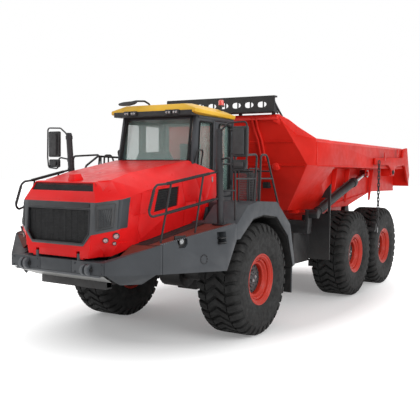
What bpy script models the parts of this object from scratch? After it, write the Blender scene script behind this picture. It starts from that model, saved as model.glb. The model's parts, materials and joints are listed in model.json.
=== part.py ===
"""Articulated six-wheel dump truck, in metres.

The front faces -Y, +X is the truck's left and +Z is up. Every place below is given in the axle frame:
Y = 0 is the front axle and Z = 0 the ground. The finished truck is shifted along Y so that its origin is
the bottom centre of its box.
"""

from math import cos, pi, radians, sin

import bmesh
import bpy
from mathutils import Matrix, Vector

# ---- Driving dimensions ----------------------------------------------------------------------------
GAP = 0.0003             # left between pieces that touch
RUNNING = 0.012          # left beside pieces that move

WHEELBASE = 4.44         # front axle to middle axle
BOGIE_SPREAD = 1.95      # middle axle to rear axle
TRACK = 2.68
TYRE_RADIUS = 0.925
TYRE_WIDTH = 0.75
RIM_RADIUS = 0.41
HUB_RADIUS = 0.2
HUB_REACH = 0.2          # rim's mounting face, inboard of the tyre's middle

FRONT_OVERHANG = 3.06    # front axle to the tow lugs' noses
REAR_OVERHANG = 1.66     # rear axle to the tailgate's back
HITCH_Y = 1.36           # steering pin
HITCH_Z = 0.95
PIN_RADIUS = 0.19
YOKE_HEIGHT = 0.64       # between the front frame's ears
EAR_THICKNESS = 0.12

RAIL_X = 0.44            # middle of a frame rail
RAIL_WIDTH = 0.14
FRONT_RAIL_LOW = 1.12
FRONT_RAIL_HIGH = 1.40
REAR_RAIL_LOW = 1.16
REAR_RAIL_HIGH = 1.56

BUMPER_HALF = 0.89       # flat front face
CORNER_X = 1.41          # where the chamfer meets the side
BODY_HALF = 1.74         # side boxes and fenders
CAB_HALF = 0.77
CAB_REAR = 0.58
ROOF_Z = 3.64
HOOD_HALF = 0.90
HOOD_SKIN = 0.04

BED_HALF = 1.72
BAND_LOW = 2.81
BAND_HIGH = 3.31
BED_WALL = 0.06
FLOOR_LOW = 1.93         # underside of the floor, front stretch
FLOOR_REAR = 2.23        # underside of the tail chute
CREST_Z = 3.745          # top of the front wall
TIP_Y = 6.95             # tipping hinge
TIP_Z = 1.78

POST_RADIUS = 0.055
RAIL_TUBE = 0.022
MIRROR_X = 1.88

MIDDLE_Y = WHEELBASE
REAR_Y = WHEELBASE + BOGIE_SPREAD
BOGIE_Y = WHEELBASE + BOGIE_SPREAD / 2
FRONT_Y = -FRONT_OVERHANG
BACK_Y = REAR_Y + REAR_OVERHANG
SHIFT = Vector((0, -(FRONT_Y + BACK_Y) / 2, 0))

COLOURS = {
    "red": ((0.72, 0.03, 0.025), 0.35, 0.0),
    "bed": ((0.74, 0.06, 0.05), 0.45, 0.0),
    "rim": ((0.70, 0.07, 0.03), 0.4, 0.0),
    "slate": ((0.07, 0.075, 0.08), 0.45, 0.0),
    "black": ((0.018, 0.018, 0.02), 0.55, 0.0),
    "steel": ((0.35, 0.35, 0.36), 0.35, 1.0),
    "rubber": ((0.022, 0.022, 0.022), 0.85, 0.0),
    "yellow": ((0.85, 0.55, 0.06), 0.4, 0.0),
    "glass": ((0.32, 0.42, 0.40), 0.08, 0.0),
    "orange": ((0.85, 0.12, 0.03), 0.3, 0.0),
    "fabric": ((0.05, 0.05, 0.055), 0.9, 0.0),
}


# ---- Shapes ----------------------------------------------------------------------------------------
def from_bmesh(shape):
    """Mesh of a working shape, with its faces turned outwards."""
    bmesh.ops.recalc_face_normals(shape, faces=shape.faces)
    mesh = bpy.data.meshes.new("shape")
    shape.to_mesh(mesh)
    shape.free()
    return mesh


def hull(points):
    """The convex solid around a list of points."""
    shape = bmesh.new()
    corners = [shape.verts.new(p) for p in points]
    out = bmesh.ops.convex_hull(shape, input=corners)
    spare = {v for v in out["geom_interior"] + out["geom_unused"] if isinstance(v, bmesh.types.BMVert)}
    for v in spare:
        shape.verts.remove(v)
    bmesh.ops.dissolve_limit(shape, angle_limit=0.0005, verts=shape.verts, edges=shape.edges)
    return from_bmesh(shape)


def box(x, y, z):
    """A block between two values along each axis."""
    return hull([(a, b, c) for a in x for b in y for c in z])


def prism(profile, axis, low, high):
    """A flat outline pushed along X, Y or Z. The outline is (y, z), (x, z) or (x, y)."""
    place = {"x": lambda p, t: (t, p[0], p[1]), "y": lambda p, t: (p[0], t, p[1]),
             "z": lambda p, t: (p[0], p[1], t)}[axis]
    shape = bmesh.new()
    ends = [[shape.verts.new(place(p, t)) for p in profile] for t in (low, high)]
    for ring in ends:
        shape.faces.new(ring)
    for i in range(len(profile)):
        j = (i + 1) % len(profile)
        shape.faces.new((ends[0][i], ends[0][j], ends[1][j], ends[1][i]))
    return from_bmesh(shape)


def loft(rings):
    """Closed rings of equal length, joined in order. Each ring is a half and its mirror image, so that
    its end cap is a stack of flat strips."""
    shape = bmesh.new()
    rows = [[shape.verts.new(p) for p in ring] for ring in rings]
    for a, b in zip(rows, rows[1:]):
        for i in range(len(a)):
            j = (i + 1) % len(a)
            shape.faces.new((a[i], a[j], b[j], b[i]))
    bmesh.ops.triangulate(shape, faces=list(shape.faces))
    for row in (rows[0], rows[-1]):
        for k in range(len(row) // 2 - 1):
            shape.faces.new((row[k], row[k + 1], row[-2 - k], row[-1 - k]))
    return from_bmesh(shape)


def turned(profile, centre, sides):
    """An outline of (x, r) turned about the X axis through centre, with a flat at the bottom. Each r is the
    distance to the flats; where it is 0 the outline closes on the axis."""
    shape = bmesh.new()
    rows = []
    for x, r in profile:
        if r == 0:
            rows.append([shape.verts.new((centre[0] + x, centre[1], centre[2]))])
            continue
        turn = [2 * pi * (k + 0.5) / sides - pi / 2 for k in range(sides)]
        reach = r / cos(pi / sides)
        rows.append([shape.verts.new((centre[0] + x, centre[1] + reach * cos(t), centre[2] + reach * sin(t)))
                     for t in turn])
    last = len(rows) if profile[0][1] else len(rows) - 1
    for n in range(last):
        a, b = rows[n], rows[(n + 1) % len(rows)]
        for k in range(sides):
            m = (k + 1) % sides
            corners = [a[k % len(a)], a[m % len(a)], b[m % len(b)], b[k % len(b)]]
            unique = list(dict.fromkeys(corners))
            if len(unique) > 2:
                shape.faces.new(unique)
    return from_bmesh(shape)


def frame_along(direction):
    """Two directions square to a run and to each other."""
    across = direction.cross(Vector((0, 0, 1)))
    if across.length < 1e-3:
        across = direction.cross(Vector((0, 1, 0)))
    across.normalize()
    return across, direction.cross(across).normalized()


def rod(a, b, radius, sides=14, radius_end=None):
    """A round bar from a to b."""
    a, b = Vector(a), Vector(b)
    u, v = frame_along((b - a).normalized())
    shape = bmesh.new()
    rings = []
    for end, r in ((a, radius), (b, radius_end or radius)):
        rings.append([shape.verts.new(end + r * (cos(2 * pi * k / sides) * u + sin(2 * pi * k / sides) * v))
                      for k in range(sides)])
    for k in range(sides):
        m = (k + 1) % sides
        shape.faces.new((rings[0][k], rings[0][m], rings[1][m], rings[1][k]))
    shape.faces.new(rings[0])
    shape.faces.new(rings[1])
    return from_bmesh(shape)


def pipe(points, radius, sides=6):
    """A tube through points, mitred at each bend."""
    points = [Vector(p) for p in points]
    shape = bmesh.new()
    rings = []
    runs = [(b - a).normalized() for a, b in zip(points, points[1:])]
    u, v = frame_along(runs[0])
    for n, point in enumerate(points):
        before, after = runs[max(n - 1, 0)], runs[min(n, len(runs) - 1)]
        if n:
            turn = before.rotation_difference(after) if n < len(points) - 1 else None
        normal = (before + after).normalized()
        ring = []
        for k in range(sides):
            ray = radius * (cos(2 * pi * k / sides) * u + sin(2 * pi * k / sides) * v)
            slide = -ray.dot(normal) / before.dot(normal)
            ring.append(shape.verts.new(point + ray + slide * before))
        rings.append(ring)
        if n and turn:
            u, v = turn @ u, turn @ v
    for a, b in zip(rings, rings[1:]):
        for k in range(sides):
            m = (k + 1) % sides
            shape.faces.new((a[k], a[m], b[m], b[k]))
    shape.faces.new(rings[0])
    shape.faces.new(rings[-1])
    return from_bmesh(shape)


def mirrored(mesh):
    """The same shape on the other side of the truck."""
    other = mesh.copy()
    other.transform(Matrix.Scale(-1, 4, (1, 0, 0)))
    other.flip_normals()
    return other


def combine(base, tools, operation):
    """Boolean union or difference of meshes, worked out with hidden helper objects."""
    for tool in tools:
        target = bpy.data.objects.new("target", base)
        helper = bpy.data.objects.new("helper", tool)
        for thing in (target, helper):
            bpy.context.scene.collection.objects.link(thing)
        helper.hide_render = True
        helper.display_type = "WIRE"
        step = target.modifiers.new("step", "BOOLEAN")
        step.operation = operation
        step.solver = "EXACT"
        step.object = helper
        graph = bpy.context.evaluated_depsgraph_get()
        base = bpy.data.meshes.new_from_object(target.evaluated_get(graph))
        for thing in (target, helper):
            bpy.data.objects.remove(thing)
    return base


def join(*meshes):
    """All the meshes as one body."""
    return combine(meshes[0], meshes[1:], "UNION")


def cut(mesh, *tools):
    """The mesh with the tools' volumes taken out."""
    return combine(mesh, tools, "DIFFERENCE")


def colour(name):
    """One material for each named colour."""
    if name in bpy.data.materials:
        return bpy.data.materials[name]
    tint, roughness, metallic = COLOURS[name]
    material = bpy.data.materials.new(name)
    material.use_nodes = True
    shader = material.node_tree.nodes["Principled BSDF"]
    shader.inputs["Base Color"].default_value = (*tint, 1)
    shader.inputs["Roughness"].default_value = roughness
    shader.inputs["Metallic"].default_value = metallic
    return material


def piece(name, mesh, tint, pivot=(0, 0, 0)):
    """One named part, with its origin at pivot."""
    mesh.transform(Matrix.Translation(-Vector(pivot)))
    mesh.name = name
    mesh.materials.clear()
    material = colour(tint).copy()
    material.name = f"{name}_{tint}"
    mesh.materials.append(material)
    mesh.shade_smooth()
    mesh.set_sharp_from_angle(angle=radians(35))
    part = bpy.data.objects.new(name, mesh)
    part.location = Vector(pivot) + SHIFT
    bpy.context.scene.collection.objects.link(part)
    return part


SIDES = {"left": 1, "right": -1}


def pair(name, mesh, tint, pivot=(0, 0, 0)):
    """A left piece and its mirror image on the right."""
    other = mirrored(mesh)
    piece(f"{name}_left", mesh, tint, pivot)
    piece(f"{name}_right", other, tint, (-pivot[0], pivot[1], pivot[2]))


# ---- Front chassis ---------------------------------------------------------------------------------
RAIL_IN = RAIL_X - RAIL_WIDTH / 2
RAIL_OUT = RAIL_X + RAIL_WIDTH / 2
EAR_LOW = (HITCH_Z - YOKE_HEIGHT / 2 - EAR_THICKNESS, HITCH_Z - YOKE_HEIGHT / 2)
EAR_HIGH = (HITCH_Z + YOKE_HEIGHT / 2, HITCH_Z + YOKE_HEIGHT / 2 + EAR_THICKNESS)
EAR_HALF = 0.24
NECK_HALF = 0.24
CAB_BEARERS = (-0.45, 0.37)
STEER_EYE_HALF = 0.06
NECK_Y = HITCH_Y - 0.76, HITCH_Y - 0.40
STEER_FOOT = (0.38, HITCH_Y - 0.98)
STEER_EYE = (0.40, HITCH_Y + 0.20)
STEER_Z = HITCH_Z - 0.05
STEER_PLATE = 0.05
HOOD_HINGE = (-2.905, 1.50)
HOOD_EAR = (0.42, 0.48)
ENGINE_HALF = RAIL_IN - 0.04


def tongue(half, rear, centre, low, high):
    """A plate with a round end about the steering pin."""
    arc = [(half * cos(t), centre + half * sin(t)) for t in [pi * k / 8 for k in range(9)]]
    return prism([(half, rear)] + arc + [(-half, rear)], "z", low, high)


def front_frame():
    """Rails, cross members, the forked neck at the steering pin, bearers, outriggers and the skid bar."""
    front = FRONT_Y + 0.62
    rail = box((RAIL_IN, RAIL_OUT), (front, NECK_Y[1] - 0.1), (FRONT_RAIL_LOW, FRONT_RAIL_HIGH))
    cross = [box((-RAIL_X, RAIL_X), (y - 0.07, y + 0.07), (FRONT_RAIL_LOW + 0.03, FRONT_RAIL_HIGH - 0.05))
             for y in (front + 0.15, -0.45)]
    neck = box((-NECK_HALF, NECK_HALF), NECK_Y, (EAR_LOW[0] + 0.01, EAR_HIGH[1] - 0.02))
    yoke_tie = box((-RAIL_X, RAIL_X), (NECK_Y[0], NECK_Y[1] - 0.12),
                   (FRONT_RAIL_LOW + 0.02, FRONT_RAIL_HIGH - 0.04))
    ears = [tongue(EAR_HALF, NECK_Y[0] + 0.1, HITCH_Y, *level) for level in (EAR_LOW, EAR_HIGH)]
    bearers = [box((-CAB_HALF + 0.05, CAB_HALF - 0.05), (y - 0.07, y + 0.07),
                   (FRONT_RAIL_HIGH - 0.08, CAB_FLOOR - 0.12 - GAP)) for y in CAB_BEARERS]
    shelf = box((-STEER_FOOT[0] - 0.1, STEER_FOOT[0] + 0.1), (STEER_FOOT[1] - 0.1, STEER_FOOT[1] + 0.1),
                (STEER_Z - STEER_EYE_HALF - STEER_PLATE - GAP, STEER_Z - STEER_EYE_HALF - GAP))
    shelf_web = box((-NECK_HALF + 0.04, NECK_HALF - 0.04), (STEER_FOOT[1] - 0.08, NECK_Y[0] + 0.1),
                    (EAR_LOW[0] + 0.05, STEER_Z - STEER_EYE_HALF - 0.02))
    outriggers = [box((side * RAIL_X, side * (SIDE_INNER - GAP)), (y - 0.06, y + 0.06), (1.24, 1.36))
                  for side in (1, -1) for y in (-2.05, -1.35)]
    skid = box((-0.62, 0.62), (FRONT_Y + 0.42, FRONT_Y + 0.56), (1.02, 1.17))
    skid_arms = [box((side * RAIL_X - 0.05, side * RAIL_X + 0.05), (FRONT_Y + 0.50, front + 0.2),
                     (1.04, FRONT_RAIL_LOW + 0.05)) for side in (1, -1)]
    return join(rail, mirrored(rail), *cross, neck, yoke_tie, *ears, *bearers, shelf_web, shelf,
                *outriggers, skid, *skid_arms)


def radiator():
    """Cooling block between the nose and the engine."""
    return box((-0.60, 0.60), (FRONT_Y + 0.50, FRONT_Y + 0.72), (FRONT_RAIL_HIGH + GAP, 2.18))


def engine():
    """Block with two valve covers and its feet on the rails."""
    block = box((-ENGINE_HALF, ENGINE_HALF), (-2.10, -0.75), (FRONT_RAIL_LOW + 0.08, 2.0))
    cover = [(0.08, 1.9), (0.08, 2.14), (0.26, 2.14), (0.30, 1.9)]
    covers = [hull([(side * x, y, z) for x, z in cover for y in (-2.0, -0.95)]) for side in (1, -1)]
    feet = [box((-RAIL_OUT, RAIL_OUT), (y - 0.08, y + 0.08), (FRONT_RAIL_HIGH + GAP, FRONT_RAIL_HIGH + 0.1))
            for y in (-1.95, -0.9)]
    return join(block, *covers, *feet)


AXLE_END = TRACK / 2 - HUB_REACH - GAP


def axle(y, pad_low, pad_high, pad_x):
    """A driven axle with its differential and two seats."""
    beam = rod((-AXLE_END + 0.1, y, TYRE_RADIUS), (AXLE_END - 0.1, y, TYRE_RADIUS), 0.13, 20)
    bowl = rod((-0.22, y, TYRE_RADIUS), (0.22, y, TYRE_RADIUS), 0.27, 20)
    ends = [rod((side * AXLE_END, y, TYRE_RADIUS), (side * (AXLE_END - 0.22), y, TYRE_RADIUS), 0.24,
                WHEEL_SIDES) for side in (1, -1)]
    seats = [box((side * pad_x - 0.08, side * pad_x + 0.08), (y - 0.11, y + 0.11), (pad_low, pad_high))
             for side in (1, -1)]
    return join(beam, bowl, *ends, *seats)


NOSE_TOP = 1.45
CORNER_TOP = 1.68
SIDE_TOP = 1.90
PANEL_LOW = 1.28
SKIRT_LOW = 1.12
CORNER_Y = FRONT_Y + 0.63
NOSE_Y = FRONT_Y + 0.08
PANEL_REAR = -0.95
SIDE_INNER = 1.0         # inner face of the side boxes


def bumper():
    """Front beam with chamfered corners, a tapered skirt below and two pairs of tow lugs."""
    beam = box((-BUMPER_HALF, BUMPER_HALF), (NOSE_Y, NOSE_Y + 0.30), (PANEL_LOW, NOSE_TOP))
    corner = hull([(BUMPER_HALF - 0.2, NOSE_Y + 0.01, PANEL_LOW),
                   (BUMPER_HALF - 0.2, NOSE_Y + 0.01, NOSE_TOP - 0.02),
                   (BUMPER_HALF, NOSE_Y, PANEL_LOW), (BUMPER_HALF, NOSE_Y, NOSE_TOP),
                   (CORNER_X, CORNER_Y, PANEL_LOW), (CORNER_X, CORNER_Y, CORNER_TOP),
                   (SIDE_INNER, CORNER_Y, PANEL_LOW), (SIDE_INNER, CORNER_Y, CORNER_TOP - 0.15),
                   (BUMPER_HALF - 0.2, NOSE_Y + 0.3, PANEL_LOW)])
    skirt_top = PANEL_LOW + 0.02
    skirt = hull([(BUMPER_HALF - 0.1, NOSE_Y + 0.05, skirt_top),
                  (CORNER_X - 0.02, CORNER_Y - 0.01, skirt_top), (CORNER_X - 0.35, CORNER_Y, skirt_top),
                  (BUMPER_HALF - 0.15, NOSE_Y + 0.35, skirt_top),
                  (BUMPER_HALF + 0.02, NOSE_Y + 0.30, SKIRT_LOW),
                  (CORNER_X - 0.3, CORNER_Y - 0.02, SKIRT_LOW)])
    lugs = [prism([(FRONT_Y + 0.20, 1.28), (FRONT_Y + 0.05, 1.28), (FRONT_Y, 1.31), (FRONT_Y, 1.38),
                   (FRONT_Y + 0.05, 1.41), (FRONT_Y + 0.20, 1.41)], "x", side * x - 0.025, side * x + 0.025)
            for side in (1, -1) for x in (0.545, 0.63)]
    ties = [box((side * 0.54, side * 0.80), (NOSE_Y + 0.2, FRONT_Y + 0.70), (skirt_top, NOSE_TOP - 0.1))
            for side in (1, -1)]
    feet = [box((side * (RAIL_OUT + GAP), side * 0.60), (FRONT_Y + 0.5, FRONT_Y + 0.90),
                (PANEL_LOW + 0.03, NOSE_TOP - 0.12)) for side in (1, -1)]
    hinge_y, hinge_z = HOOD_HINGE
    bracket = [(hinge_y - 0.04, NOSE_TOP - 0.03), (hinge_y - 0.04, hinge_z + 0.04),
               (hinge_y + 0.04, hinge_z + 0.04), (hinge_y + 0.12, NOSE_TOP - 0.03)]
    brackets = [prism(bracket, "x", side * (HOOD_EAR[0] - 0.05), side * (HOOD_EAR[0] - GAP))
                for side in (1, -1)]
    return join(beam, corner, mirrored(corner), skirt, mirrored(skirt), *ties, *feet, *lugs, *brackets)


def side_box():
    """Side tank and step panel behind the bumper's corner."""
    rear_low = PANEL_REAR - 0.27
    front = CORNER_Y + GAP
    outer = hull([(CORNER_X, front, PANEL_LOW), (CORNER_X, front, CORNER_TOP), (SIDE_INNER, front, PANEL_LOW),
                  (SIDE_INNER, front, CORNER_TOP - 0.06), (BODY_HALF, rear_low, PANEL_LOW - 0.06),
                  (BODY_HALF, PANEL_REAR, 1.64), (BODY_HALF, PANEL_REAR, SIDE_TOP),
                  (SIDE_INNER, PANEL_REAR, SIDE_TOP - 0.06), (SIDE_INNER, rear_low, PANEL_LOW - 0.06),
                  (SIDE_INNER, PANEL_REAR, 1.64)])
    step = box((BODY_HALF - 0.16, BODY_HALF + 0.1), (PANEL_REAR - 0.42, PANEL_REAR - 0.24), (1.62, 1.80))
    return cut(outer, step)


# The wheel arch, (y, z) from the front foot over the top and back along the underside.
ARCH = [(PANEL_REAR + GAP, 1.66), (PANEL_REAR + GAP, 1.88), (-0.62, 2.15), (-0.29, 2.22), (0.40, 2.19),
        (0.93, 1.785), (1.15, 1.04), (1.07, 1.03), (0.86, 1.58), (0.41, 1.94), (-0.07, 1.995),
        (-0.415, 1.95), (-0.78, 1.70), (-0.82, 1.66)]
FENDER_IN = HOOD_HALF + 0.025


def fender():
    """Arch over the front wheel with the rubber flap below its rear end."""
    arch = prism(ARCH, "x", FENDER_IN, BODY_HALF)
    flap = prism([(1.085, 1.2), (1.115, 1.2), (1.11, FLAP_LOW), (1.08, FLAP_LOW)], "x",
                 FENDER_IN + 0.07, BODY_HALF - 0.03)
    return join(arch, flap)


FLAP_LOW = 0.55
DECK_Z = [(CORNER_Y, CORNER_TOP), (PANEL_REAR, SIDE_TOP)]


def deck_height(y):
    """Top of the side box's outer edge at y."""
    (y0, z0), (y1, z1) = DECK_Z
    return z0 + (z1 - z0) * (y - y0) / (y1 - y0)


POST_FOOT = (1.50, -1.03)
POST_HEAD = (1.52, -1.14, 3.30)
FENDER_RAIL_X = 1.66


def post_at(z):
    """The mirror post's axis at height z."""
    low = deck_height(POST_FOOT[1])
    foot = Vector((*POST_FOOT, low))
    return foot + (Vector(POST_HEAD) - foot) * (z - low) / (POST_HEAD[2] - low)


def rails():
    """Hood-side handrail, mirror post with two mirrors, and the rail loops on the fender."""
    x_low = 1.29
    hood_loop = pipe([post_at(2.29), (x_low + 0.04, -2.25, 2.07), (x_low, -2.46, 2.05),
                      (x_low, -2.50, 2.12), (x_low, -2.42, 2.42), (x_low, -2.36, 2.48),
                      (x_low + 0.03, -2.2, 2.50), post_at(2.69)], RAIL_TUBE)
    hood_posts = [pipe([(x, foot, deck_height(foot) - 0.1), (x, foot, z)], RAIL_TUBE) for x, foot, z in
                  ((x_low + 0.025, -2.28, 2.485), (x_low + 0.137, -1.62, 2.598))]
    foot_x, foot_y = POST_FOOT
    ground_z = deck_height(foot_y)
    post = rod(post_at(ground_z - 0.1), POST_HEAD, POST_RADIUS, 12)
    plate = box((foot_x - 0.1, foot_x + 0.1), (foot_y - 0.07, foot_y + 0.07),
                (ground_z - 0.1, ground_z + 0.02))
    drop_x, drop_y = MIRROR_X - 0.05, -1.16
    arms = [pipe([post_at(z), (drop_x, drop_y, z + rise)], 0.018) for z, rise in ((3.24, 0.17), (2.86, 0.06))]
    drop = pipe([(drop_x, drop_y, 3.44), (drop_x, drop_y, 2.72)], 0.016)
    mirrors = [box((MIRROR_X - half, MIRROR_X + half), (drop_y + 0.005, drop_y + 0.085), span)
               for half, span in ((0.14, (2.90, 3.36)), (0.13, (2.71, 2.86)))]
    x = FENDER_RAIL_X
    first = pipe([(x, -0.86, 1.8), (x, -0.88, 2.90), (x, -0.84, 2.925), (x, -0.24, 2.965),
                  (x, -0.20, 2.94), (x, -0.275, 2.0)], RAIL_TUBE)
    second = pipe([(x, -0.10, 2.0), (x, -0.06, 2.93), (x, -0.02, 2.96), (x, 0.12, 2.965),
                   (x, 0.17, 2.93), (x, 0.70, 1.85)], RAIL_TUBE)
    middle = pipe([(x, -0.88, 2.58), (x, 0.34, 2.58)], RAIL_TUBE)
    ties = [pipe([post_at(z), (x, -0.88, z)], 0.016) for z in (2.40, 2.80)]
    standing = join(hood_loop, *hood_posts, post, plate, *arms, drop, *mirrors, *ties, first, second, middle)
    ground = prism([(y, z + GAP) for y, z in ARCH[1:7]] + [(1.15, 1.0), (-0.94, 1.0)], "x", 1.45, 1.9)
    return cut(standing, side_box_above(GAP), ground)


def side_box_above(lift):
    """The side box's top, raised by lift, as a cutter for feet that stand on it."""
    edges = ((CORNER_X, CORNER_Y, CORNER_TOP), (SIDE_INNER, CORNER_Y, CORNER_TOP - 0.06),
             (BODY_HALF, PANEL_REAR, SIDE_TOP), (SIDE_INNER, PANEL_REAR, SIDE_TOP - 0.06))
    return hull([(x, y, z) for x, y, top in edges for z in (top + lift, PANEL_LOW - 0.08)])


# ---- Cab -------------------------------------------------------------------------------------------
CAB_FLOOR = 1.95
CAB_WALL = 0.05
SILL_Y, SILL_Z = -0.73, 2.80
HEAD_Y, HEAD_Z = -0.575, ROOF_Z - 0.04
DOOR_FRONT, DOOR_REAR = -0.04, 0.52
DOOR_LOW, DOOR_HIGH = 2.25, 3.54
DOOR_THICK = 0.045
GLASS = 0.008
SHELL_IN = CAB_HALF - CAB_WALL
HINGE_REACH = 0.02       # hinge axis, outboard of the cab's side

# Side window ahead of the door as (y, z), following the sloping front pillar, and its larger pane.
FRONT_WINDOW = [(-0.56, 2.74), (-0.12, 2.70), (-0.12, 3.50), (-0.50, 3.50)]
FRONT_PANE = [(-0.60, 2.71), (-0.09, 2.67), (-0.09, 3.53), (-0.53, 3.53)]
REAR_WINDOW_Y, REAR_WINDOW_Z = (0.0, 0.48), (2.55, 3.50)


def windscreen_y(z):
    """The outside of the sloping front at height z."""
    return SILL_Y + (HEAD_Y - SILL_Y) * (z - SILL_Z) / (HEAD_Z - SILL_Z)


def cab_outline(inset):
    """The cab's side view, moved inwards by inset."""
    return [(SILL_Y + inset, CAB_FLOOR + inset), (SILL_Y + inset, SILL_Z),
            (windscreen_y(HEAD_Z - inset) + inset, HEAD_Z - inset),
            (CAB_REAR - inset, HEAD_Z - inset), (CAB_REAR - inset, CAB_FLOOR + inset)]


def cab_shell():
    """Welded cab with its window and door openings cut through."""
    outer = prism(cab_outline(0), "x", -CAB_HALF, CAB_HALF)
    inner = prism(cab_outline(CAB_WALL), "x", -SHELL_IN, SHELL_IN)
    bearers = [box((-SHELL_IN, SHELL_IN), (y - 0.06, y + 0.06), (CAB_FLOOR - 0.12, CAB_FLOOR + 0.02))
               for y in CAB_BEARERS]
    screen = box((-CAB_HALF + 0.07, CAB_HALF - 0.07), (SILL_Y - 0.1, HEAD_Y + 0.2),
                 (SILL_Z + 0.03, HEAD_Z - 0.06))
    rear = box((-0.62, 0.62), (CAB_REAR - 0.2, CAB_REAR + 0.1), (2.75, HEAD_Z - 0.1))
    through = (CAB_HALF - 0.2, CAB_HALF + 0.1)
    door = box(through, (DOOR_FRONT, DOOR_REAR), (DOOR_LOW, DOOR_HIGH))
    front_window = prism(FRONT_WINDOW, "x", *through)
    rear_window = mirrored(box(through, REAR_WINDOW_Y, REAR_WINDOW_Z))
    side_windows = [front_window, mirrored(front_window), rear_window]
    shell = cut(join(outer, *bearers), inner, screen, rear, door, *side_windows)
    return join(shell, *[knuckle(z + KNUCKLE + GAP, 1) for z in KNUCKLE_Z])


KNUCKLE = 0.09
KNUCKLE_Z = (2.36, 3.30)
DOOR_AXIS = (CAB_HALF + HINGE_REACH, DOOR_REAR - RUNNING / 2)


def knuckle(low, way):
    """Half of a door hinge: a barrel and its tab, to the rear on the cab and forward on the door."""
    x, y = DOOR_AXIS
    tab = box((CAB_HALF - 0.02, x), (y, y + way * 0.045), (low + 0.005, low + KNUCKLE - 0.005))
    return join(rod((x, y, low), (x, y, low + KNUCKLE), 0.018, 12), tab)


def cab_door():
    """Door leaf in its opening, with half of each hinge at its rear edge."""
    leaf = box((CAB_HALF - DOOR_THICK, CAB_HALF), (DOOR_FRONT + RUNNING, DOOR_REAR - RUNNING),
               (DOOR_LOW + RUNNING, DOOR_HIGH - RUNNING))
    window = box((CAB_HALF - 0.2, CAB_HALF + 0.1), (DOOR_FRONT + 0.13, DOOR_REAR - 0.06),
                 (DOOR_LOW + 0.11, DOOR_HIGH - 0.05))
    return join(cut(leaf, window), *[knuckle(z, -1) for z in KNUCKLE_Z])


def door_pane():
    """Pane on the inner face of the door leaf."""
    outside = CAB_HALF - DOOR_THICK - GAP
    return box((outside - GLASS, outside), (DOOR_FRONT + 0.10, DOOR_REAR - 0.03),
               (DOOR_LOW + 0.08, DOOR_HIGH - 0.02))


def windscreen():
    """Flat pane behind the front opening."""
    low, high = SILL_Z, HEAD_Z - CAB_WALL - 0.004
    back = CAB_WALL + GAP
    return prism([(windscreen_y(low) + back, low), (windscreen_y(low) + back + GLASS, low),
                  (windscreen_y(high) + back + GLASS, high), (windscreen_y(high) + back, high)], "x",
                 -CAB_HALF + 0.06, CAB_HALF - 0.06)


def rear_pane():
    """Pane behind the rear window."""
    back = CAB_REAR - CAB_WALL - GAP
    return box((-0.66, 0.66), (back - GLASS, back), (2.71, HEAD_Z - 0.07))


def left_pane():
    """Pane behind the window ahead of the door."""
    return prism(FRONT_PANE, "x", SHELL_IN - GAP - GLASS, SHELL_IN - GAP)


def right_pane():
    """One pane behind both right-hand windows."""
    low, rear = REAR_WINDOW_Z[0] - 0.03, REAR_WINDOW_Y[1] + 0.03
    high = FRONT_PANE[-1][1]
    outline = [(FRONT_PANE[0][0], low), (rear, low), (rear, high), FRONT_PANE[-1]]
    return prism(outline, "x", -SHELL_IN + GAP, -SHELL_IN + GAP + GLASS)


def cab_roof():
    """Faceted roof with a lip over the windscreen."""
    low = HEAD_Z + GAP
    return hull([(side * x, y, z) for side in (1, -1) for x, y, z in
                 ((CAB_HALF + 0.02, HEAD_Y - 0.08, low), (CAB_HALF + 0.02, CAB_REAR + 0.01, low),
                  (0.867, -0.79, low + 0.03), (0.867, -0.79, 3.69),
                  (CAB_HALF + 0.03, CAB_REAR + 0.03, ROOF_Z + 0.02),
                  (0.60, -0.72, 3.775), (0.50, -0.35, 3.81), (0.62, 0.35, 3.76))])


def driver_seat():
    """Pedestal, cushion, back rest and head rest."""
    base = box((-0.18, 0.18), (-0.05, 0.30), (CAB_FLOOR + CAB_WALL + GAP, CAB_FLOOR + 0.40))
    cushion = prism([(-0.20, 2.34), (-0.20, 2.47), (0.34, 2.45), (0.34, 2.34)], "x", -0.26, 0.26)
    back = prism([(0.22, 2.40), (0.36, 2.40), (0.44, 3.02), (0.34, 3.02)], "x", -0.25, 0.25)
    head = box((-0.13, 0.13), (0.34, 0.43), (2.98, 3.22))
    return join(base, cushion, back, head)


def console():
    """Dash with the steering column and wheel."""
    foot_z = CAB_FLOOR + CAB_WALL + GAP
    dash = prism([(-0.66, foot_z), (-0.45, foot_z), (-0.45, 2.55), (-0.52, 2.79), (-0.66, 2.79)], "x",
                 -0.66, 0.66)
    column = rod(COLUMN_FOOT, COLUMN_HEAD, 0.035, 10)
    return join(dash, column, steering_wheel())


COLUMN_FOOT, COLUMN_HEAD = Vector((0, -0.52, 2.45)), Vector((0, -0.31, 2.72))
WHEEL_REACH = 0.20       # steering wheel's centre to the middle of its rim


def steering_wheel():
    """Rim, three spokes and a hub, square to the column."""
    grip = 0.016
    section = [(0.03 + grip * cos(k * pi / 3), WHEEL_REACH + grip * sin(k * pi / 3)) for k in range(6)]
    hub = turned([(-0.02, 0), (-0.02, 0.045), (0.045, 0.045), (0.045, 0)], (0, 0, 0), 10)
    wheel = join(turned(section, (0, 0, 0), 20), hub)
    for t in (pi / 2, pi / 2 + 2 * pi / 3, pi / 2 + 4 * pi / 3):
        ray = Vector((0, cos(t), sin(t)))
        lift = Vector((0.03, 0, 0))
        wheel = join(wheel, rod(lift + 0.03 * ray, lift + (WHEEL_REACH - 0.005) * ray, 0.011, 6))
    tilt = (COLUMN_HEAD - COLUMN_FOOT).to_track_quat("X", "Z").to_matrix().to_4x4()
    wheel.transform(Matrix.Translation(COLUMN_HEAD) @ tilt)
    return wheel


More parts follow.
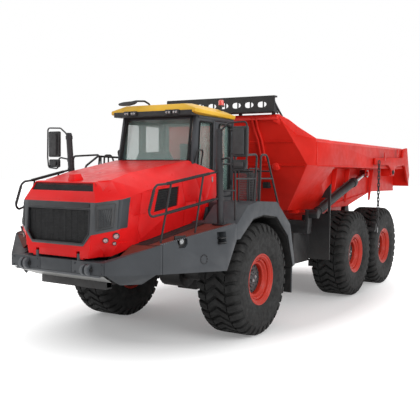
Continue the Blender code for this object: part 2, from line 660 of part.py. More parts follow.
def roof_mirror():
    """Curved arm on the roof with a mirror that looks down the nose."""
    arm = pipe([(-0.24, -0.50, 3.74), (-0.28, -0.62, 3.90), (-0.36, -0.74, 3.91), (-0.50, -0.84, 3.80)],
               RAIL_TUBE)
    head = box((-0.64, -0.40), (-0.86, -0.82), (3.70, 3.86))
    return cut(join(arm, head), roof_grown())


def roof_grown():
    """The roof's volume, opened out by the touching gap."""
    roof = cab_roof()
    roof.transform(Matrix.Translation((0, 0, GAP)))
    below = roof.copy()
    below.transform(Matrix.Translation((0, 0, -0.03)))
    return join(roof, below)


def beacon():
    """Warning lamp on a short stem at the roof's left edge."""
    x, y = 0.66, 0.33
    stem = rod((x, y, ROOF_Z + 0.06), (x, y, 3.84), 0.03, 12)
    return cut(join(stem, rod((x, y, 3.83), (x, y, 3.93), 0.055, 12, 0.045)), roof_grown())


# ---- Hood ------------------------------------------------------------------------------------------
# Half cross-sections from nose to windscreen: lower edge, cheek, shoulder and ridge as (x, y, z).
HOOD_RINGS = [
    [(0.57, -2.944, 1.485), (0.62, -2.950, 1.75), (0.68, -2.916, 2.265), (0.545, -2.82, 2.52)],
    [(0.80, -2.70, 1.53), (HOOD_HALF + 0.03, -2.74, 1.80), (HOOD_HALF, -2.62, 2.29), (0.60, -2.52, 2.55)],
    [(HOOD_HALF, -2.28, 1.67), (HOOD_HALF, -2.28, 1.92), (HOOD_HALF, -2.09, 2.40), (0.60, -2.09, 2.655)],
    [(HOOD_HALF, -0.60, 1.87), (HOOD_HALF, -0.46, 2.25), (HOOD_HALF, -0.24, 2.69), (0.74, -0.80, 2.857)],
]


def hood_volume(skin, open_rear, drop):
    """The hood's outside, or with a skin its hollow, run out past the rear and the underside."""
    rings = []
    for n, half in enumerate(HOOD_RINGS):
        ring = []
        for k, (x, y, z) in enumerate(half):
            y += skin if n == 0 else 0
            y += open_rear if n == len(HOOD_RINGS) - 1 else 0
            z += -drop if k == 0 else (-skin if k == 3 else 0)
            ring.append((x - skin, y, z))
        rings.append(ring + [(-x, y, z) for x, y, z in reversed(ring)])
    return loft(rings)


def hood_shell():
    """Thin faceted hood, open below and behind, with the mask's opening and its two hinge ears."""
    outer = hood_volume(0, 0, 0)
    hollow = hood_volume(HOOD_SKIN, 0.4, 0.4)
    cab_room = box((-CAB_HALF - RUNNING, CAB_HALF + RUNNING), (SILL_Y - RUNNING, 0.6), (1.5, 3.3))
    hinge_y, hinge_z = HOOD_HINGE
    ears = [box((side * HOOD_EAR[0], side * HOOD_EAR[1]), (hinge_y - 0.035, hinge_y + 0.04),
                (hinge_z - 0.035, MASK_LOW - 0.02)) for side in (1, -1)]
    notches = [box((side * (HOOD_EAR[0] - 0.05 - RUNNING), side * HOOD_EAR[0]), (NOSE_Y - 0.1, NOSE_Y + 0.2),
                   (NOSE_TOP - 0.15, hinge_z + 0.075)) for side in (1, -1)]
    return join(cut(outer, hollow, cab_room, mask_outline(0, 0.1), *notches), *ears)


MASK_HALF = 0.60
MASK_LOW, MASK_HIGH = 1.62, 2.20


def nose_y(z):
    """The nose's outside at height z."""
    (_, y0, z0), (_, y1, z1) = HOOD_RINGS[0][1:3]
    return y0 + (y1 - y0) * (z - z0) / (z1 - z0)


def mask_outline(inset, reach):
    """The opening in the nose, or with an inset the plate that fills it."""
    low, high = MASK_LOW + inset, MASK_HIGH - inset
    back = HOOD_SKIN if inset else 0.1
    return prism([(nose_y(low) - reach, low), (nose_y(low) + back, low), (nose_y(high) + back, high),
                  (nose_y(high) - reach, high)], "x", -MASK_HALF + inset, MASK_HALF - inset)


# ---- Rear chassis ----------------------------------------------------------------------------------
YOKE_REAR = HITCH_Y + 0.52
RING_RADIUS = 0.27
BEAM_X = 0.70            # walking beams
RAIL_REAR = TIP_Y + 0.22
CHAIN_X = BED_HALF + 0.107   # outside the tailgate's arm
CHAIN_HALF = 0.035
CHAIN_IN = CHAIN_X - CHAIN_HALF
CHAIN_Y = BOGIE_Y - 0.005    # the beam under it runs between the two rear tyres
CHAIN_LOW = 1.50
CHAIN_LUG_Z = 2.95
ARM_LOW = CHAIN_LUG_Z - 0.07


def yoke():
    """Steering post and oscillation ring, with an arm for each steering cylinder."""
    half = YOKE_HEIGHT / 2 - GAP
    post = rod((0, HITCH_Y, HITCH_Z - half), (0, HITCH_Y, HITCH_Z + half), PIN_RADIUS, 24)
    ring = rod((0, HITCH_Y, HITCH_Z), (0, YOKE_REAR - GAP, HITCH_Z), RING_RADIUS - 0.03, 24)
    x, y = STEER_EYE
    outline = [(x + 0.08, y), (x + 0.08, y + 0.10), (-x - 0.08, y + 0.10), (-x - 0.08, y),
               (-x + 0.02, y - 0.08), (x - 0.02, y - 0.08)]
    arms = prism(outline, "z", STEER_Z - STEER_EYE_HALF - STEER_PLATE - GAP, STEER_Z - STEER_EYE_HALF - GAP)
    return join(post, ring, arms)


def rear_frame():
    """Rails, cross tubes, ring housing, tanks, tipping brackets, hoist feet, chain arms and mud plates."""
    housing = rod((0, YOKE_REAR, HITCH_Z), (0, YOKE_REAR + 0.35, HITCH_Z), RING_RADIUS, 24)
    throat_y = YOKE_REAR + 0.10
    nose = hull([(side * x, y, z) for side in (1, -1) for x, y, z in
                 ((0.20, throat_y, 0.72), (0.20, throat_y, 1.18), (RAIL_OUT, 2.85, REAR_RAIL_HIGH - 0.01),
                  (RAIL_OUT, 2.85, 0.90), (RAIL_OUT, 2.45, 0.72), (RAIL_OUT, 2.45, 1.40))])
    rail = prism([(2.7, 0.95), (3.5, REAR_RAIL_LOW), (RAIL_REAR - 0.4, REAR_RAIL_LOW),
                  (RAIL_REAR, REAR_RAIL_LOW + 0.1), (RAIL_REAR, REAR_RAIL_HIGH), (2.7, REAR_RAIL_HIGH)], "x",
                 RAIL_IN + 0.002, RAIL_OUT - 0.002)
    cross = [rod((-RAIL_X, y, 1.38), (RAIL_X, y, 1.38), 0.10, 12) for y in (3.4, BOGIE_Y, RAIL_REAR - 0.25)]
    pivot_end = BEAM_X - BEAM_HALF - GAP
    pivots = rod((-pivot_end, BOGIE_Y, BEAM_Z), (pivot_end, BOGIE_Y, BEAM_Z), 0.12, 16)
    saddle = prism([(BOGIE_Y - 0.3, REAR_RAIL_LOW + 0.05), (BOGIE_Y - 0.14, BEAM_Z - 0.10),
                    (BOGIE_Y + 0.14, BEAM_Z - 0.10), (BOGIE_Y + 0.3, REAR_RAIL_LOW + 0.05)], "x",
                   RAIL_X - 0.05, RAIL_X + 0.05)
    boss = prism([(TIP_Y - 0.22, REAR_RAIL_HIGH - 0.05), (TIP_Y - 0.10, TIP_Z + 0.08),
                  (TIP_Y + 0.10, TIP_Z + 0.08), (TIP_Y + 0.2, REAR_RAIL_HIGH - 0.05)], "x",
                 RAIL_X - 0.04, RAIL_X + 0.06)
    hoist_y, hoist_z = HOIST_FOOT
    hoist_beam = box((-HOIST_IN + 0.01, HOIST_IN - 0.01), (hoist_y - 0.09, hoist_y + 0.09),
                     (REAR_RAIL_HIGH - 0.1, 1.72))
    hoist_ear = prism([(hoist_y - 0.11, 1.60), (hoist_y - 0.08, hoist_z + 0.08),
                       (hoist_y + 0.08, hoist_z + 0.08), (hoist_y + 0.11, 1.60)], "x",
                      HOIST_IN - 0.07, HOIST_IN - GAP)
    chain_beam = box((-CHAIN_IN + 0.02, CHAIN_IN - 0.02), (CHAIN_Y - 0.05, CHAIN_Y + 0.05), (1.34, 1.43))
    chain_ear = box((CHAIN_IN - 0.1, CHAIN_IN - GAP), (CHAIN_Y - 0.04, CHAIN_Y + 0.04),
                    (1.37, CHAIN_LOW + 0.04))
    plate_arm = box((RAIL_X, 1.30), (MUD_Y + 0.01, MUD_Y + 0.12), (1.20, 1.32))
    tank = box((RAIL_X, TANK_X), (TANK_FRONT, MUD_Y + 0.01), (TANK_LOW, REAR_RAIL_HIGH - 0.08))
    sides = [saddle, boss, hoist_ear, chain_ear, plate_arm, tank, mud_plate()]
    return join(nose, housing, rail, mirrored(rail), *cross, pivots, hoist_beam, chain_beam, *sides,
                *[mirrored(side) for side in sides])


MUD_Y = 3.16
TANK_X = 1.12
TANK_FRONT = 2.40
TANK_LOW = 0.86
HOIST_X = 1.40
HOIST_HALF = 0.09        # half width of the eyes
HOIST_IN = HOIST_X - HOIST_HALF
HOIST_FOOT = (2.75, 1.855)
HOIST_EYE = (5.616, 2.672)
HOIST_BARREL = 0.085
HOIST_ROD = 0.055
HOIST_GLAND = 2.28       # barrel length from its foot pin
HOIST_ROD_START = 0.153


def mud_plate():
    """Black plate in front of the middle wheel, cut round the bed's side and the hoist."""
    plate = prism([(0.95, 1.50), (1.0, 0.90), (1.57, 0.90), (1.57, 2.46), (1.45, 2.32), (1.18, 1.80),
                   (0.95, 1.80)], "y", MUD_Y, MUD_Y + 0.03)
    slope = (HOIST_EYE[1] - HOIST_FOOT[1]) / (HOIST_EYE[0] - HOIST_FOOT[0])
    hoist_z = HOIST_FOOT[1] + (MUD_Y - HOIST_FOOT[0]) * slope
    hole = box((HOIST_X - 0.12, HOIST_X + 0.12), (MUD_Y - 0.1, MUD_Y + 0.2), (hoist_z - 0.13, hoist_z + 0.20))
    return cut(plate, hole)


BEAM_Z = 0.98
BEAM_HALF = 0.1
BEAM_TOP = TYRE_RADIUS - 0.2
BEAM_NOSE = 0.13         # walking beam's end past its axle


def walking_beam():
    """Rocking beam that carries both rear axles on one side."""
    x = (BEAM_X - BEAM_HALF, BEAM_X + BEAM_HALF)
    top = BEAM_TOP - GAP
    return prism([(MIDDLE_Y - BEAM_NOSE, top - 0.16), (MIDDLE_Y - BEAM_NOSE, top), (MIDDLE_Y + 0.35, top),
                  (BOGIE_Y - 0.2, BEAM_Z + 0.18), (BOGIE_Y + 0.2, BEAM_Z + 0.18), (REAR_Y - 0.35, top),
                  (REAR_Y + BEAM_NOSE, top), (REAR_Y + BEAM_NOSE, top - 0.16), (BOGIE_Y + 0.2, BEAM_Z - 0.18),
                  (BOGIE_Y - 0.2, BEAM_Z - 0.18)], "x", *x)


# ---- Bed -------------------------------------------------------------------------------------------
SIDE_PLATE_X = 1.29

# Half cross-sections from front wall to tail: floor edge, knee, band foot, shoulder and lip as (x, y, z).
LIP_X = 1.70
BED_RINGS = [
    [(1.00, 2.33, FLOOR_LOW), (1.40, 2.00, 2.46), (1.66, 1.77, BAND_LOW + 0.02), (1.45, 1.62, 3.26),
     (1.20, 1.45, CREST_Z)],
    [(1.05, 2.62, FLOOR_LOW), (1.45, 2.40, 2.46), (BED_HALF, 2.10, BAND_LOW), (BED_HALF, 2.02, BAND_HIGH),
     (1.40, 2.02, 3.62)],
    [(1.10, 3.00, FLOOR_LOW), (1.45, 3.00, 2.44), (BED_HALF, 3.00, BAND_LOW),
     (BED_HALF, 2.80, BAND_HIGH - 0.02), (LIP_X, 2.80, BAND_HIGH)],
    *[[(floor_x, y, floor_z), (SIDE_PLATE_X, y, BAND_LOW - 0.02), (BED_HALF, y, BAND_LOW),
       (BED_HALF, y, BAND_HIGH - 0.02), (LIP_X, y, BAND_HIGH)]
      for floor_x, y, floor_z in ((1.24, 3.70, FLOOR_LOW), (1.25, 4.95, FLOOR_LOW),
                                  (1.27, 6.45, FLOOR_REAR))],
    [(1.40, BACK_Y - 0.12, FLOOR_REAR), (1.45, BACK_Y - 0.40, BAND_LOW - 0.04),
     (BED_HALF, BACK_Y - 0.42, BAND_LOW), (BED_HALF, BACK_Y - 0.56, BAND_HIGH - 0.02),
     (LIP_X, BACK_Y - 0.56, BAND_HIGH)],
]


def bed_volume(wall, open_rear, rise):
    """The bed's outside, or with a wall its hollow, run out past the top and the tail."""
    rings = []
    last = len(BED_RINGS) - 1
    for n, half in enumerate(BED_RINGS):
        ring = []
        for k, (x, y, z) in enumerate(half):
            y += 1.5 * wall if n == 0 else 0
            y += open_rear if n == last else 0
            z += wall if k == 0 else (rise if k == 4 else 0)
            ring.append((x - wall, y, z))
        rings.append(ring + [(-x, y, z) for x, y, z in reversed(ring)])
    return loft(rings)


def bed_tub():
    """Thin-walled body, open above and at the tail."""
    return cut(bed_volume(0, 0, 0), bed_volume(BED_WALL, 0.6, 0.5))


def headboard():
    """Guard plate over the front wall, with a row of round-ended holes."""
    low, high = 3.78, 4.08
    span, front = (-1.20, 1.20), 1.30
    plate = box(span, (front, front + 0.03), (low, high))
    lip = box(span, (front, front + 0.12), (high - 0.03, high))
    foot_lip = box(span, (front, front + 0.20), (low, low + 0.03))
    holes = [slot(HOLE_PITCH * (n - (HOLES - 1) / 2), 3.925) for n in range(HOLES)]
    legs = [box((x - 0.03, x + 0.03), (1.452, 1.495), (CREST_Z + GAP, low + 0.02))
            for x in (-1.1, -0.4, 0.4, 1.1)]
    return join(cut(plate, *holes), lip, foot_lip, *legs)


HOLES = 8
HOLE_PITCH = 0.27


def slot(x, z):
    """A round-ended hole on its side."""
    ends = [(x + side * 0.035 + 0.065 * cos(t), z + 0.065 * sin(t))
            for side, turn in ((1, -pi / 2), (-1, pi / 2)) for t in [turn + pi * k / 6 for k in range(7)]]
    return prism(ends, "y", 1.2, 1.5)


def bed_sills():
    """Sills under the floor, tipping lugs beside the frame's brackets, and the cross bars that join them."""
    sill = prism([(2.98, REAR_RAIL_HIGH + GAP), (2.98, FLOOR_LOW - GAP), (4.95, FLOOR_LOW - GAP),
                  (6.45, FLOOR_REAR - GAP), (6.50, FLOOR_REAR - GAP), (6.50, REAR_RAIL_HIGH + GAP)], "x",
                 RAIL_IN, RAIL_OUT)
    lug_out = RAIL_X - 0.04 - GAP
    lug = prism([(6.1, REAR_RAIL_HIGH + 0.01), (6.1, 2.10), (6.45, FLOOR_REAR - GAP),
                 (TIP_Y + 0.45, FLOOR_REAR - GAP), (TIP_Y + 0.13, TIP_Z - 0.09),
                 (TIP_Y - 0.13, TIP_Z - 0.09)], "x", lug_out - 0.11, lug_out)
    bars = [box((-RAIL_X, RAIL_X), (y - 0.06, y + 0.06), (1.70, 1.85)) for y in (3.3, 4.6, 6.3)]
    return join(sill, mirrored(sill), lug, mirrored(lug), *bars)


def bed_fittings():
    """Round pads for the hoist rods' eyes and the brackets that carry the tailgate's pivots."""
    pad = rod((SIDE_PLATE_X - 0.04, *HOIST_EYE), (HOIST_IN - GAP, *HOIST_EYE), 0.085, 16)
    y, z = GATE_PIVOT
    bracket = box((BED_HALF - 0.2, GATE_IN - GAP), (y - 0.10, y + 0.10), (z - 0.09, BAND_LOW + 0.05))
    return [pad, mirrored(pad), bracket, mirrored(bracket)]


GATE_PIVOT = (6.60, 2.71)
GATE_IN = BED_HALF + 0.015
GATE_ARM = 0.045


def tailgate():
    """Gate panel on two side arms, pivoted on the bed and pulled at the arms' front ends by the chains."""
    y, z = GATE_PIVOT
    x = (GATE_IN, GATE_IN + GATE_ARM)
    arm = prism([(CHAIN_Y - 0.12, ARM_LOW), (CHAIN_Y - 0.12, ARM_LOW + 0.15), (BACK_Y - 0.40, 3.09),
                 (BACK_Y - 0.40, 2.90), (y + 0.25, 2.86), (y + 0.10, z - 0.08), (y - 0.09, z - 0.08),
                 (y - 0.12, z + 0.06), (y - 0.35, ARM_LOW)], "x", *x)
    wing = prism([(BACK_Y - 0.72, 3.00), (BACK_Y - 0.46, 3.32), (BACK_Y - 0.26, 3.34), (BACK_Y, 2.64),
                  (BACK_Y - 0.06, 2.48), (BACK_Y - 0.16, 2.48), (BACK_Y - 0.40, 2.86)], "x", *x)
    panel = prism([(BACK_Y - 0.36, 3.30), (BACK_Y - 0.27, 3.32), (BACK_Y - 0.02, 2.64), (BACK_Y - 0.02, 2.36),
                   (BACK_Y - 0.08, 2.36), (BACK_Y - 0.10, 2.62)], "x", -x[1] + 0.01, x[1] - 0.01)
    return join(panel, arm, mirrored(arm), wing, mirrored(wing))


# ---- Wheels ----------------------------------------------------------------------------------------
WHEEL_SIDES = 24


def tyre(centre):
    """A tubeless earthmover tyre: beads, sidewalls, shoulders and tread face."""
    half = TYRE_WIDTH / 2
    inner = RIM_RADIUS + GAP
    side = [(half - 0.06, inner), (half, TYRE_RADIUS - 0.305), (half, TYRE_RADIUS - 0.145),
            (half - 0.07, TYRE_RADIUS - 0.03)]
    hollow = [(half - 0.13, inner), (half - 0.09, TYRE_RADIUS - 0.345), (half - 0.12, TYRE_RADIUS - 0.105)]
    tread = [(half - 0.16, TYRE_RADIUS), (-half + 0.16, TYRE_RADIUS)]
    outside = side + tread + [(-x, r) for x, r in reversed(side)]
    inside = [(-x, r) for x, r in hollow] + list(reversed(hollow))
    return turned(outside + inside, centre, WHEEL_SIDES)


def rim(centre, side):
    """Barrel, dished disc and hub, mounting face inboard."""
    half = TYRE_WIDTH / 2
    face, flange = -HUB_REACH, half - 0.055
    outline = [(face, 0), (face, HUB_RADIUS + 0.06), (face + 0.06, 0.35), (-half + 0.06, 0.37),
               (-half + 0.06, RIM_RADIUS), (flange, RIM_RADIUS), (flange, 0.375), (flange - 0.02, 0.345),
               (flange - 0.08, 0.26), (flange - 0.08, HUB_RADIUS + 0.035),
               (flange - 0.115, HUB_RADIUS + 0.02), (flange - 0.115, 0)]
    return turned([(side * x, r) for x, r in outline], centre, WHEEL_SIDES)


def wheels():
    """Six tyres and rims, each about its own axle's end."""
    for end, y in (("front", 0), ("middle", MIDDLE_Y), ("rear", REAR_Y)):
        for name, side in SIDES.items():
            centre = (side * TRACK / 2, y, TYRE_RADIUS)
            piece(f"tyre_{end}_{name}", tyre(centre), "rubber", centre)
            piece(f"rim_{end}_{name}", rim(centre, side), "rim", centre)


# ---- Cylinders and chains --------------------------------------------------------------------------
def eye(centre, axis, half, radius):
    """A round eye about a pin."""
    step = Vector(axis) * half
    return rod(Vector(centre) - step, Vector(centre) + step, radius, 16)


def cylinder(foot, head, gland, start, axis, half, outer, inner):
    """A barrel from foot to gland and the rod that slides in it, from start to the head."""
    foot, head = Vector(foot), Vector(head)
    along = (head - foot).normalized()
    tube = rod(foot + along * outer * 0.6, foot + along * gland, outer, 20)
    collar = rod(foot + along * (gland - 0.08), foot + along * (gland + 0.02), outer + 0.015, 20)
    bore = rod(foot + along * outer * 1.6, foot + along * (gland + 0.1), inner + 0.004, 20)
    barrel = join(cut(join(tube, collar), bore), eye(foot, axis, half, outer))
    bar = rod(foot + along * start, head - along * inner, inner, 20)
    return barrel, join(bar, eye(head, axis, half, outer))


def hoists():
    """The two cylinders that raise the bed."""
    foot, head = (HOIST_X, *HOIST_FOOT), (HOIST_X, *HOIST_EYE)
    barrel, bar = cylinder(foot, head, HOIST_GLAND, HOIST_ROD_START, (1, 0, 0), HOIST_HALF,
                           HOIST_BARREL, HOIST_ROD)
    pair("hoist_barrel", barrel, "black", foot)
    pair("hoist_rod", bar, "steel", foot)


def steering_cylinders():
    """The two cylinders beside the hitch."""
    foot, head = (*STEER_FOOT, STEER_Z), (*STEER_EYE, STEER_Z)
    barrel, bar = cylinder(foot, head, STEER_GLAND, STEER_ROD_START, (0, 0, 1), STEER_EYE_HALF, 0.055, 0.03)
    pair("steer_barrel", barrel, "black", foot)
    pair("steer_rod", bar, "steel", foot)


STEER_GLAND = 0.74
STEER_ROD_START = 0.42   # half way along the barrel, free to move both ways


def chains():
    """Bars from the frame's arms up to the tailgate's, each with an eye at its foot."""
    foot = (CHAIN_X, CHAIN_Y, CHAIN_LOW)
    run = rod(foot, (CHAIN_X, CHAIN_Y, CHAIN_LUG_Z + 0.03), CHAIN_HALF * 0.8, 8)
    pair("chain", join(run, eye(foot, (1, 0, 0), CHAIN_HALF, 0.045)), "steel", foot)


# ---- The truck -------------------------------------------------------------------------------------
def front_chassis():
    """Everything that stays with the front axle, below and beside the cab."""
    piece("front_frame", front_frame(), "black")
    piece("radiator", radiator(), "black")
    piece("engine", engine(), "steel")
    piece("front_axle", axle(0, TYRE_RADIUS, FRONT_RAIL_LOW - GAP, RAIL_X), "black")
    piece("bumper", bumper(), "slate")
    pair("side_box", side_box(), "slate")
    pair("fender", fender(), "slate")
    pair("rails", rails(), "slate")


def cab():
    """Shell, roof, panes, seat, dash and the hinged door."""
    piece("cab_shell", cab_shell(), "slate")
    piece("cab_roof", cab_roof(), "yellow")
    piece("windscreen", windscreen(), "glass")
    piece("rear_pane", rear_pane(), "glass")
    piece("left_pane", left_pane(), "glass")
    piece("right_pane", right_pane(), "glass")
    piece("driver_seat", driver_seat(), "fabric")
    piece("console", console(), "black")
    piece("roof_mirror", roof_mirror(), "black")
    piece("beacon", beacon(), "orange")
    hinge = (*DOOR_AXIS, DOOR_LOW)
    piece("cab_door", cab_door(), "slate", hinge)
    piece("door_pane", door_pane(), "glass", hinge)


def hood():
    """Hood shell and its mask, about the hinge at the bumper."""
    hinge = (0, *HOOD_HINGE)
    piece("hood_shell", hood_shell(), "red", hinge)
    piece("grille", mask_outline(GAP, 0.012), "slate", hinge)


def rear_chassis():
    """Hitch yoke, rear frame, axles and walking beams."""
    swing = (0, HITCH_Y, HITCH_Z)
    piece("yoke", yoke(), "black", swing)
    piece("rear_frame", rear_frame(), "black", swing)
    piece("middle_axle", axle(MIDDLE_Y, BEAM_TOP, TYRE_RADIUS, BEAM_X), "black", swing)
    piece("rear_axle", axle(REAR_Y, BEAM_TOP, TYRE_RADIUS, BEAM_X), "black", swing)
    pair("walking_beam", walking_beam(), "black", swing)


def body():
    """Bed, sills and guard about the tipping hinge, and the tailgate about its own."""
    hinge = (0, TIP_Y, TIP_Z)
    piece("bed_tub", join(bed_tub(), *bed_fittings()), "bed", hinge)
    piece("bed_sills", bed_sills(), "red", hinge)
    piece("headboard", headboard(), "black", hinge)
    piece("tailgate", tailgate(), "bed", (0, *GATE_PIVOT))


def main():
    """Empty the scene and build the truck."""
    for thing in list(bpy.data.objects):
        bpy.data.objects.remove(thing)
    front_chassis()
    cab()
    hood()
    rear_chassis()
    body()
    wheels()
    hoists()
    steering_cylinders()
    chains()


main()
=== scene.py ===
"""Articulated dump truck: the visible surface built round the fixed frame.

Places are written in the axle frame: Y = 0 is the front axle, Z = 0 the ground, +X the truck's left.
"""

import json
from math import cos, pi, radians, sin

import bmesh
import bpy
from mathutils.bvhtree import BVHTree
from mathutils import Matrix, Vector


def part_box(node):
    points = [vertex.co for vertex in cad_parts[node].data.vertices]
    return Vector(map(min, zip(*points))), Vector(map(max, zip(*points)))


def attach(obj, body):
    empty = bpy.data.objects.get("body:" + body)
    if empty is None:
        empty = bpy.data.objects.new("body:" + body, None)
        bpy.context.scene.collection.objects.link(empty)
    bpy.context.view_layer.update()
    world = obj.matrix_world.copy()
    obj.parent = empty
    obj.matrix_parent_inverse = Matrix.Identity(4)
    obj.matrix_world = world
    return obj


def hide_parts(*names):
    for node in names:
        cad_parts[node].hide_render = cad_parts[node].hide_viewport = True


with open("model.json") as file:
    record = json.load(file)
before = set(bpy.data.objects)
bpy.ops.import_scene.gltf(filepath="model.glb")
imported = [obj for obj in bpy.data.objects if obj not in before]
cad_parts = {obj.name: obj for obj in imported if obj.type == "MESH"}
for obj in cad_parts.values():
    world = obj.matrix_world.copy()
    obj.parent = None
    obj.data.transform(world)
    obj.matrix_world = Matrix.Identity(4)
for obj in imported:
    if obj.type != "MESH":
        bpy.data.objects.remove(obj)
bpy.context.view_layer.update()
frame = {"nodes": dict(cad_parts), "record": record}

bl_info = {
    "name": "Articulated Dump Truck",
    "version": (1, 0, 0),
    "blender": (4, 5, 0),
    "location": "3D View > Sidebar > Truck",
    "description": "Builds the visible pieces of an articulated dump truck round its frame",
    "category": "Object",
}

TYRE_LOW, TYRE_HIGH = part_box("tyre_front_left")
AXLE_Y = (TYRE_LOW[1] + TYRE_HIGH[1]) / 2
TYRE_RADIUS = (TYRE_HIGH[2] - TYRE_LOW[2]) / 2
WHEEL_X = (TYRE_LOW[0] + TYRE_HIGH[0]) / 2
AXLES = {end: sum(p[1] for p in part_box(f"tyre_{end}_left")) / 2 - AXLE_Y for end in ("front", "middle", "rear")}
SIDES = {"left": 1, "right": -1}
SLOT = {entry["node"]: entry["material_slot"] for entry in frame["record"]["subparts"]}
BODY = {node: body for body, nodes in frame["record"]["behaviour"]["bodies"].items() for node in nodes}
DUST = (0.16, 0.135, 0.115)


# ---- Sizes and colours -----------------------------------------------------------------------------
def length(name, description, value):
    return bpy.props.FloatProperty(name=name, description=description, default=value, unit="LENGTH")


def tint(name, description, value):
    return bpy.props.FloatVectorProperty(name=name, description=description, subtype="COLOR", size=3, default=value)


class TruckSizes(bpy.types.PropertyGroup):
    """Sizes of the details that dress the frame."""

    lug_count: bpy.props.IntProperty(name="Tread lugs", description="Lugs round each half of a tyre", default=34)
    lug_depth: length("Tread depth", "Height of the lugs over the carcass", 0.046)
    link_pitch: length("Link pitch", "Distance between chain links", 0.078)
    tube: length("Rail tube", "Radius of the handrail tube", 0.017)


class TruckColours(bpy.types.PropertyGroup):
    """Paint, rubber and glass colours."""

    hood: tint("Hood red", "Paint of the hood", (0.86, 0.011, 0.012))
    bed: tint("Bed red", "Paint of the bed and its sills", (0.70, 0.017, 0.009))
    rim: tint("Rim orange", "Paint of the wheel rims", (0.50, 0.025, 0.010))
    slate: tint("Slate grey", "Paint of the bumper, boxes and fenders", (0.049, 0.054, 0.061))
    black: tint("Chassis black", "Paint of the frames, guards and rails", (0.013, 0.013, 0.014))
    rubber: tint("Rubber", "Tyres, seals and flaps", (0.014, 0.014, 0.014))
    roof: tint("Roof yellow", "Paint of the cab roof", (0.88, 0.51, 0.035))
    glass: tint("Glass", "Tinted cab glass", (0.35, 0.53, 0.48))
    steel: tint("Steel", "Bare and plated steel", (0.42, 0.42, 0.43))
    deck: tint("Deck brown", "Primer on the walkway under the hood", (0.14, 0.032, 0.022))
    beacon: tint("Beacon", "Warning beacon", (0.72, 0.028, 0.008))


def sizes():
    return bpy.context.scene.truck_sizes


# ---- Materials -------------------------------------------------------------------------------------
def fill(tree, socket, value):
    """Links a socket to another, or sets its value."""
    if isinstance(value, bpy.types.NodeSocket):
        tree.links.new(value, socket)
    else:
        socket.default_value = (*value, 1) if socket.type == "RGBA" else value


def plug(tree, node, **values):
    """A node with its inputs filled. An underscore in a name stands for a space."""
    for name, value in values.items():
        fill(tree, node.inputs[name.replace("_", " ")], value)
    return node


def add(tree, kind, **values):
    """A new node with its inputs filled."""
    return plug(tree, tree.nodes.new(kind), **values)


def math_node(tree, operation, *values):
    node = tree.nodes.new("ShaderNodeMath")
    node.operation = operation
    for socket, value in zip(node.inputs, values):
        fill(tree, socket, value)
    return node.outputs["Value"]


def own_place(tree):
    """Each point's place in its own piece's frame, in metres."""
    return add(tree, "ShaderNodeTexCoord").outputs["Object"]


def noise(tree, scale, detail=4.0, stretch=(1, 1, 1)):
    place = add(tree, "ShaderNodeMapping", Vector=own_place(tree), Scale=stretch).outputs["Vector"]
    return add(tree, "ShaderNodeTexNoise", Vector=place, Scale=scale, Detail=detail).outputs["Fac"]


def spread(tree, value, low=0.3, high=0.7, out_low=0.0, out_high=1.0):
    """A value stretched from one range to another."""
    return add(tree, "ShaderNodeMapRange", Value=value, From_Min=low, From_Max=high, To_Min=out_low,
               To_Max=out_high).outputs["Result"]


def mixed(tree, factor, first, second):
    """Two colours mixed by a factor. Either may be a socket."""
    node = tree.nodes.new("ShaderNodeMix")
    node.data_type = "RGBA"
    tree.links.new(factor, node.inputs["Factor"])
    for name, value in (("A", first), ("B", second)):
        fill(tree, next(s for s in node.inputs if s.name == name and s.type == "RGBA"), value)
    return next(s for s in node.outputs if s.type == "RGBA")


def bump(tree, shader, height, strength, distance):
    node = add(tree, "ShaderNodeBump", Height=height, Strength=strength, Distance=distance)
    tree.links.new(node.outputs["Normal"], shader.inputs["Normal"])


def scaled(colour, factor, lift=0.0):
    return [min(1, c * factor + lift) for c in colour]


def height_mask(tree, low, high):
    """1 below low and 0 above high, in metres over the ground, with a ragged edge."""
    height = add(tree, "ShaderNodeSeparateXYZ", Vector=own_place(tree)).outputs["Z"]
    return spread(tree, math_node(tree, "MULTIPLY_ADD", noise(tree, 3.0), 0.5, height), low, high, 1.0, 0.0)


def painted(tree, shader, colour, roughness, coat, dust, specular=0.5):
    """Sprayed paint: a faint change of shade, orange peel, and dust low down."""
    shade = mixed(tree, spread(tree, noise(tree, 1.6, 6), 0.35, 0.65), scaled(colour, 0.88),
                  scaled(colour, 1.08, 0.004))
    fine = spread(tree, noise(tree, 26, 6), 0.50, 0.78, 0.0, dust)
    dusty = mixed(tree, fine, shade, scaled(colour, 0.5, 0.10))
    low = spread(tree, height_mask(tree, 0.5, 1.9), 0, 1, 0.0, dust * 1.2)
    plug(tree, shader, Base_Color=mixed(tree, low, dusty, DUST),
         Roughness=spread(tree, noise(tree, 9, 5), out_low=roughness - 0.07, out_high=roughness + 0.10),
         Specular_IOR_Level=specular, Coat_Weight=coat, Coat_Roughness=0.12)
    bump(tree, shader, noise(tree, 240, 2), 0.12, 0.0006)


def rubber(tree, shader, colour, dust):
    """Rubber: matt, faintly mottled, with dust worked into it."""
    shade = mixed(tree, spread(tree, noise(tree, 7, 8), 0.38, 0.70), colour, scaled(colour, 1.7, 0.006))
    dusty = mixed(tree, spread(tree, noise(tree, 60, 4), 0.52, 0.80, 0.0, dust), shade, (0.060, 0.056, 0.051))
    plug(tree, shader, Base_Color=dusty, Roughness=spread(tree, noise(tree, 18, 4), out_low=0.62, out_high=0.86),
         Specular_IOR_Level=0.22)
    bump(tree, shader, noise(tree, 150, 5), 0.30, 0.0015)


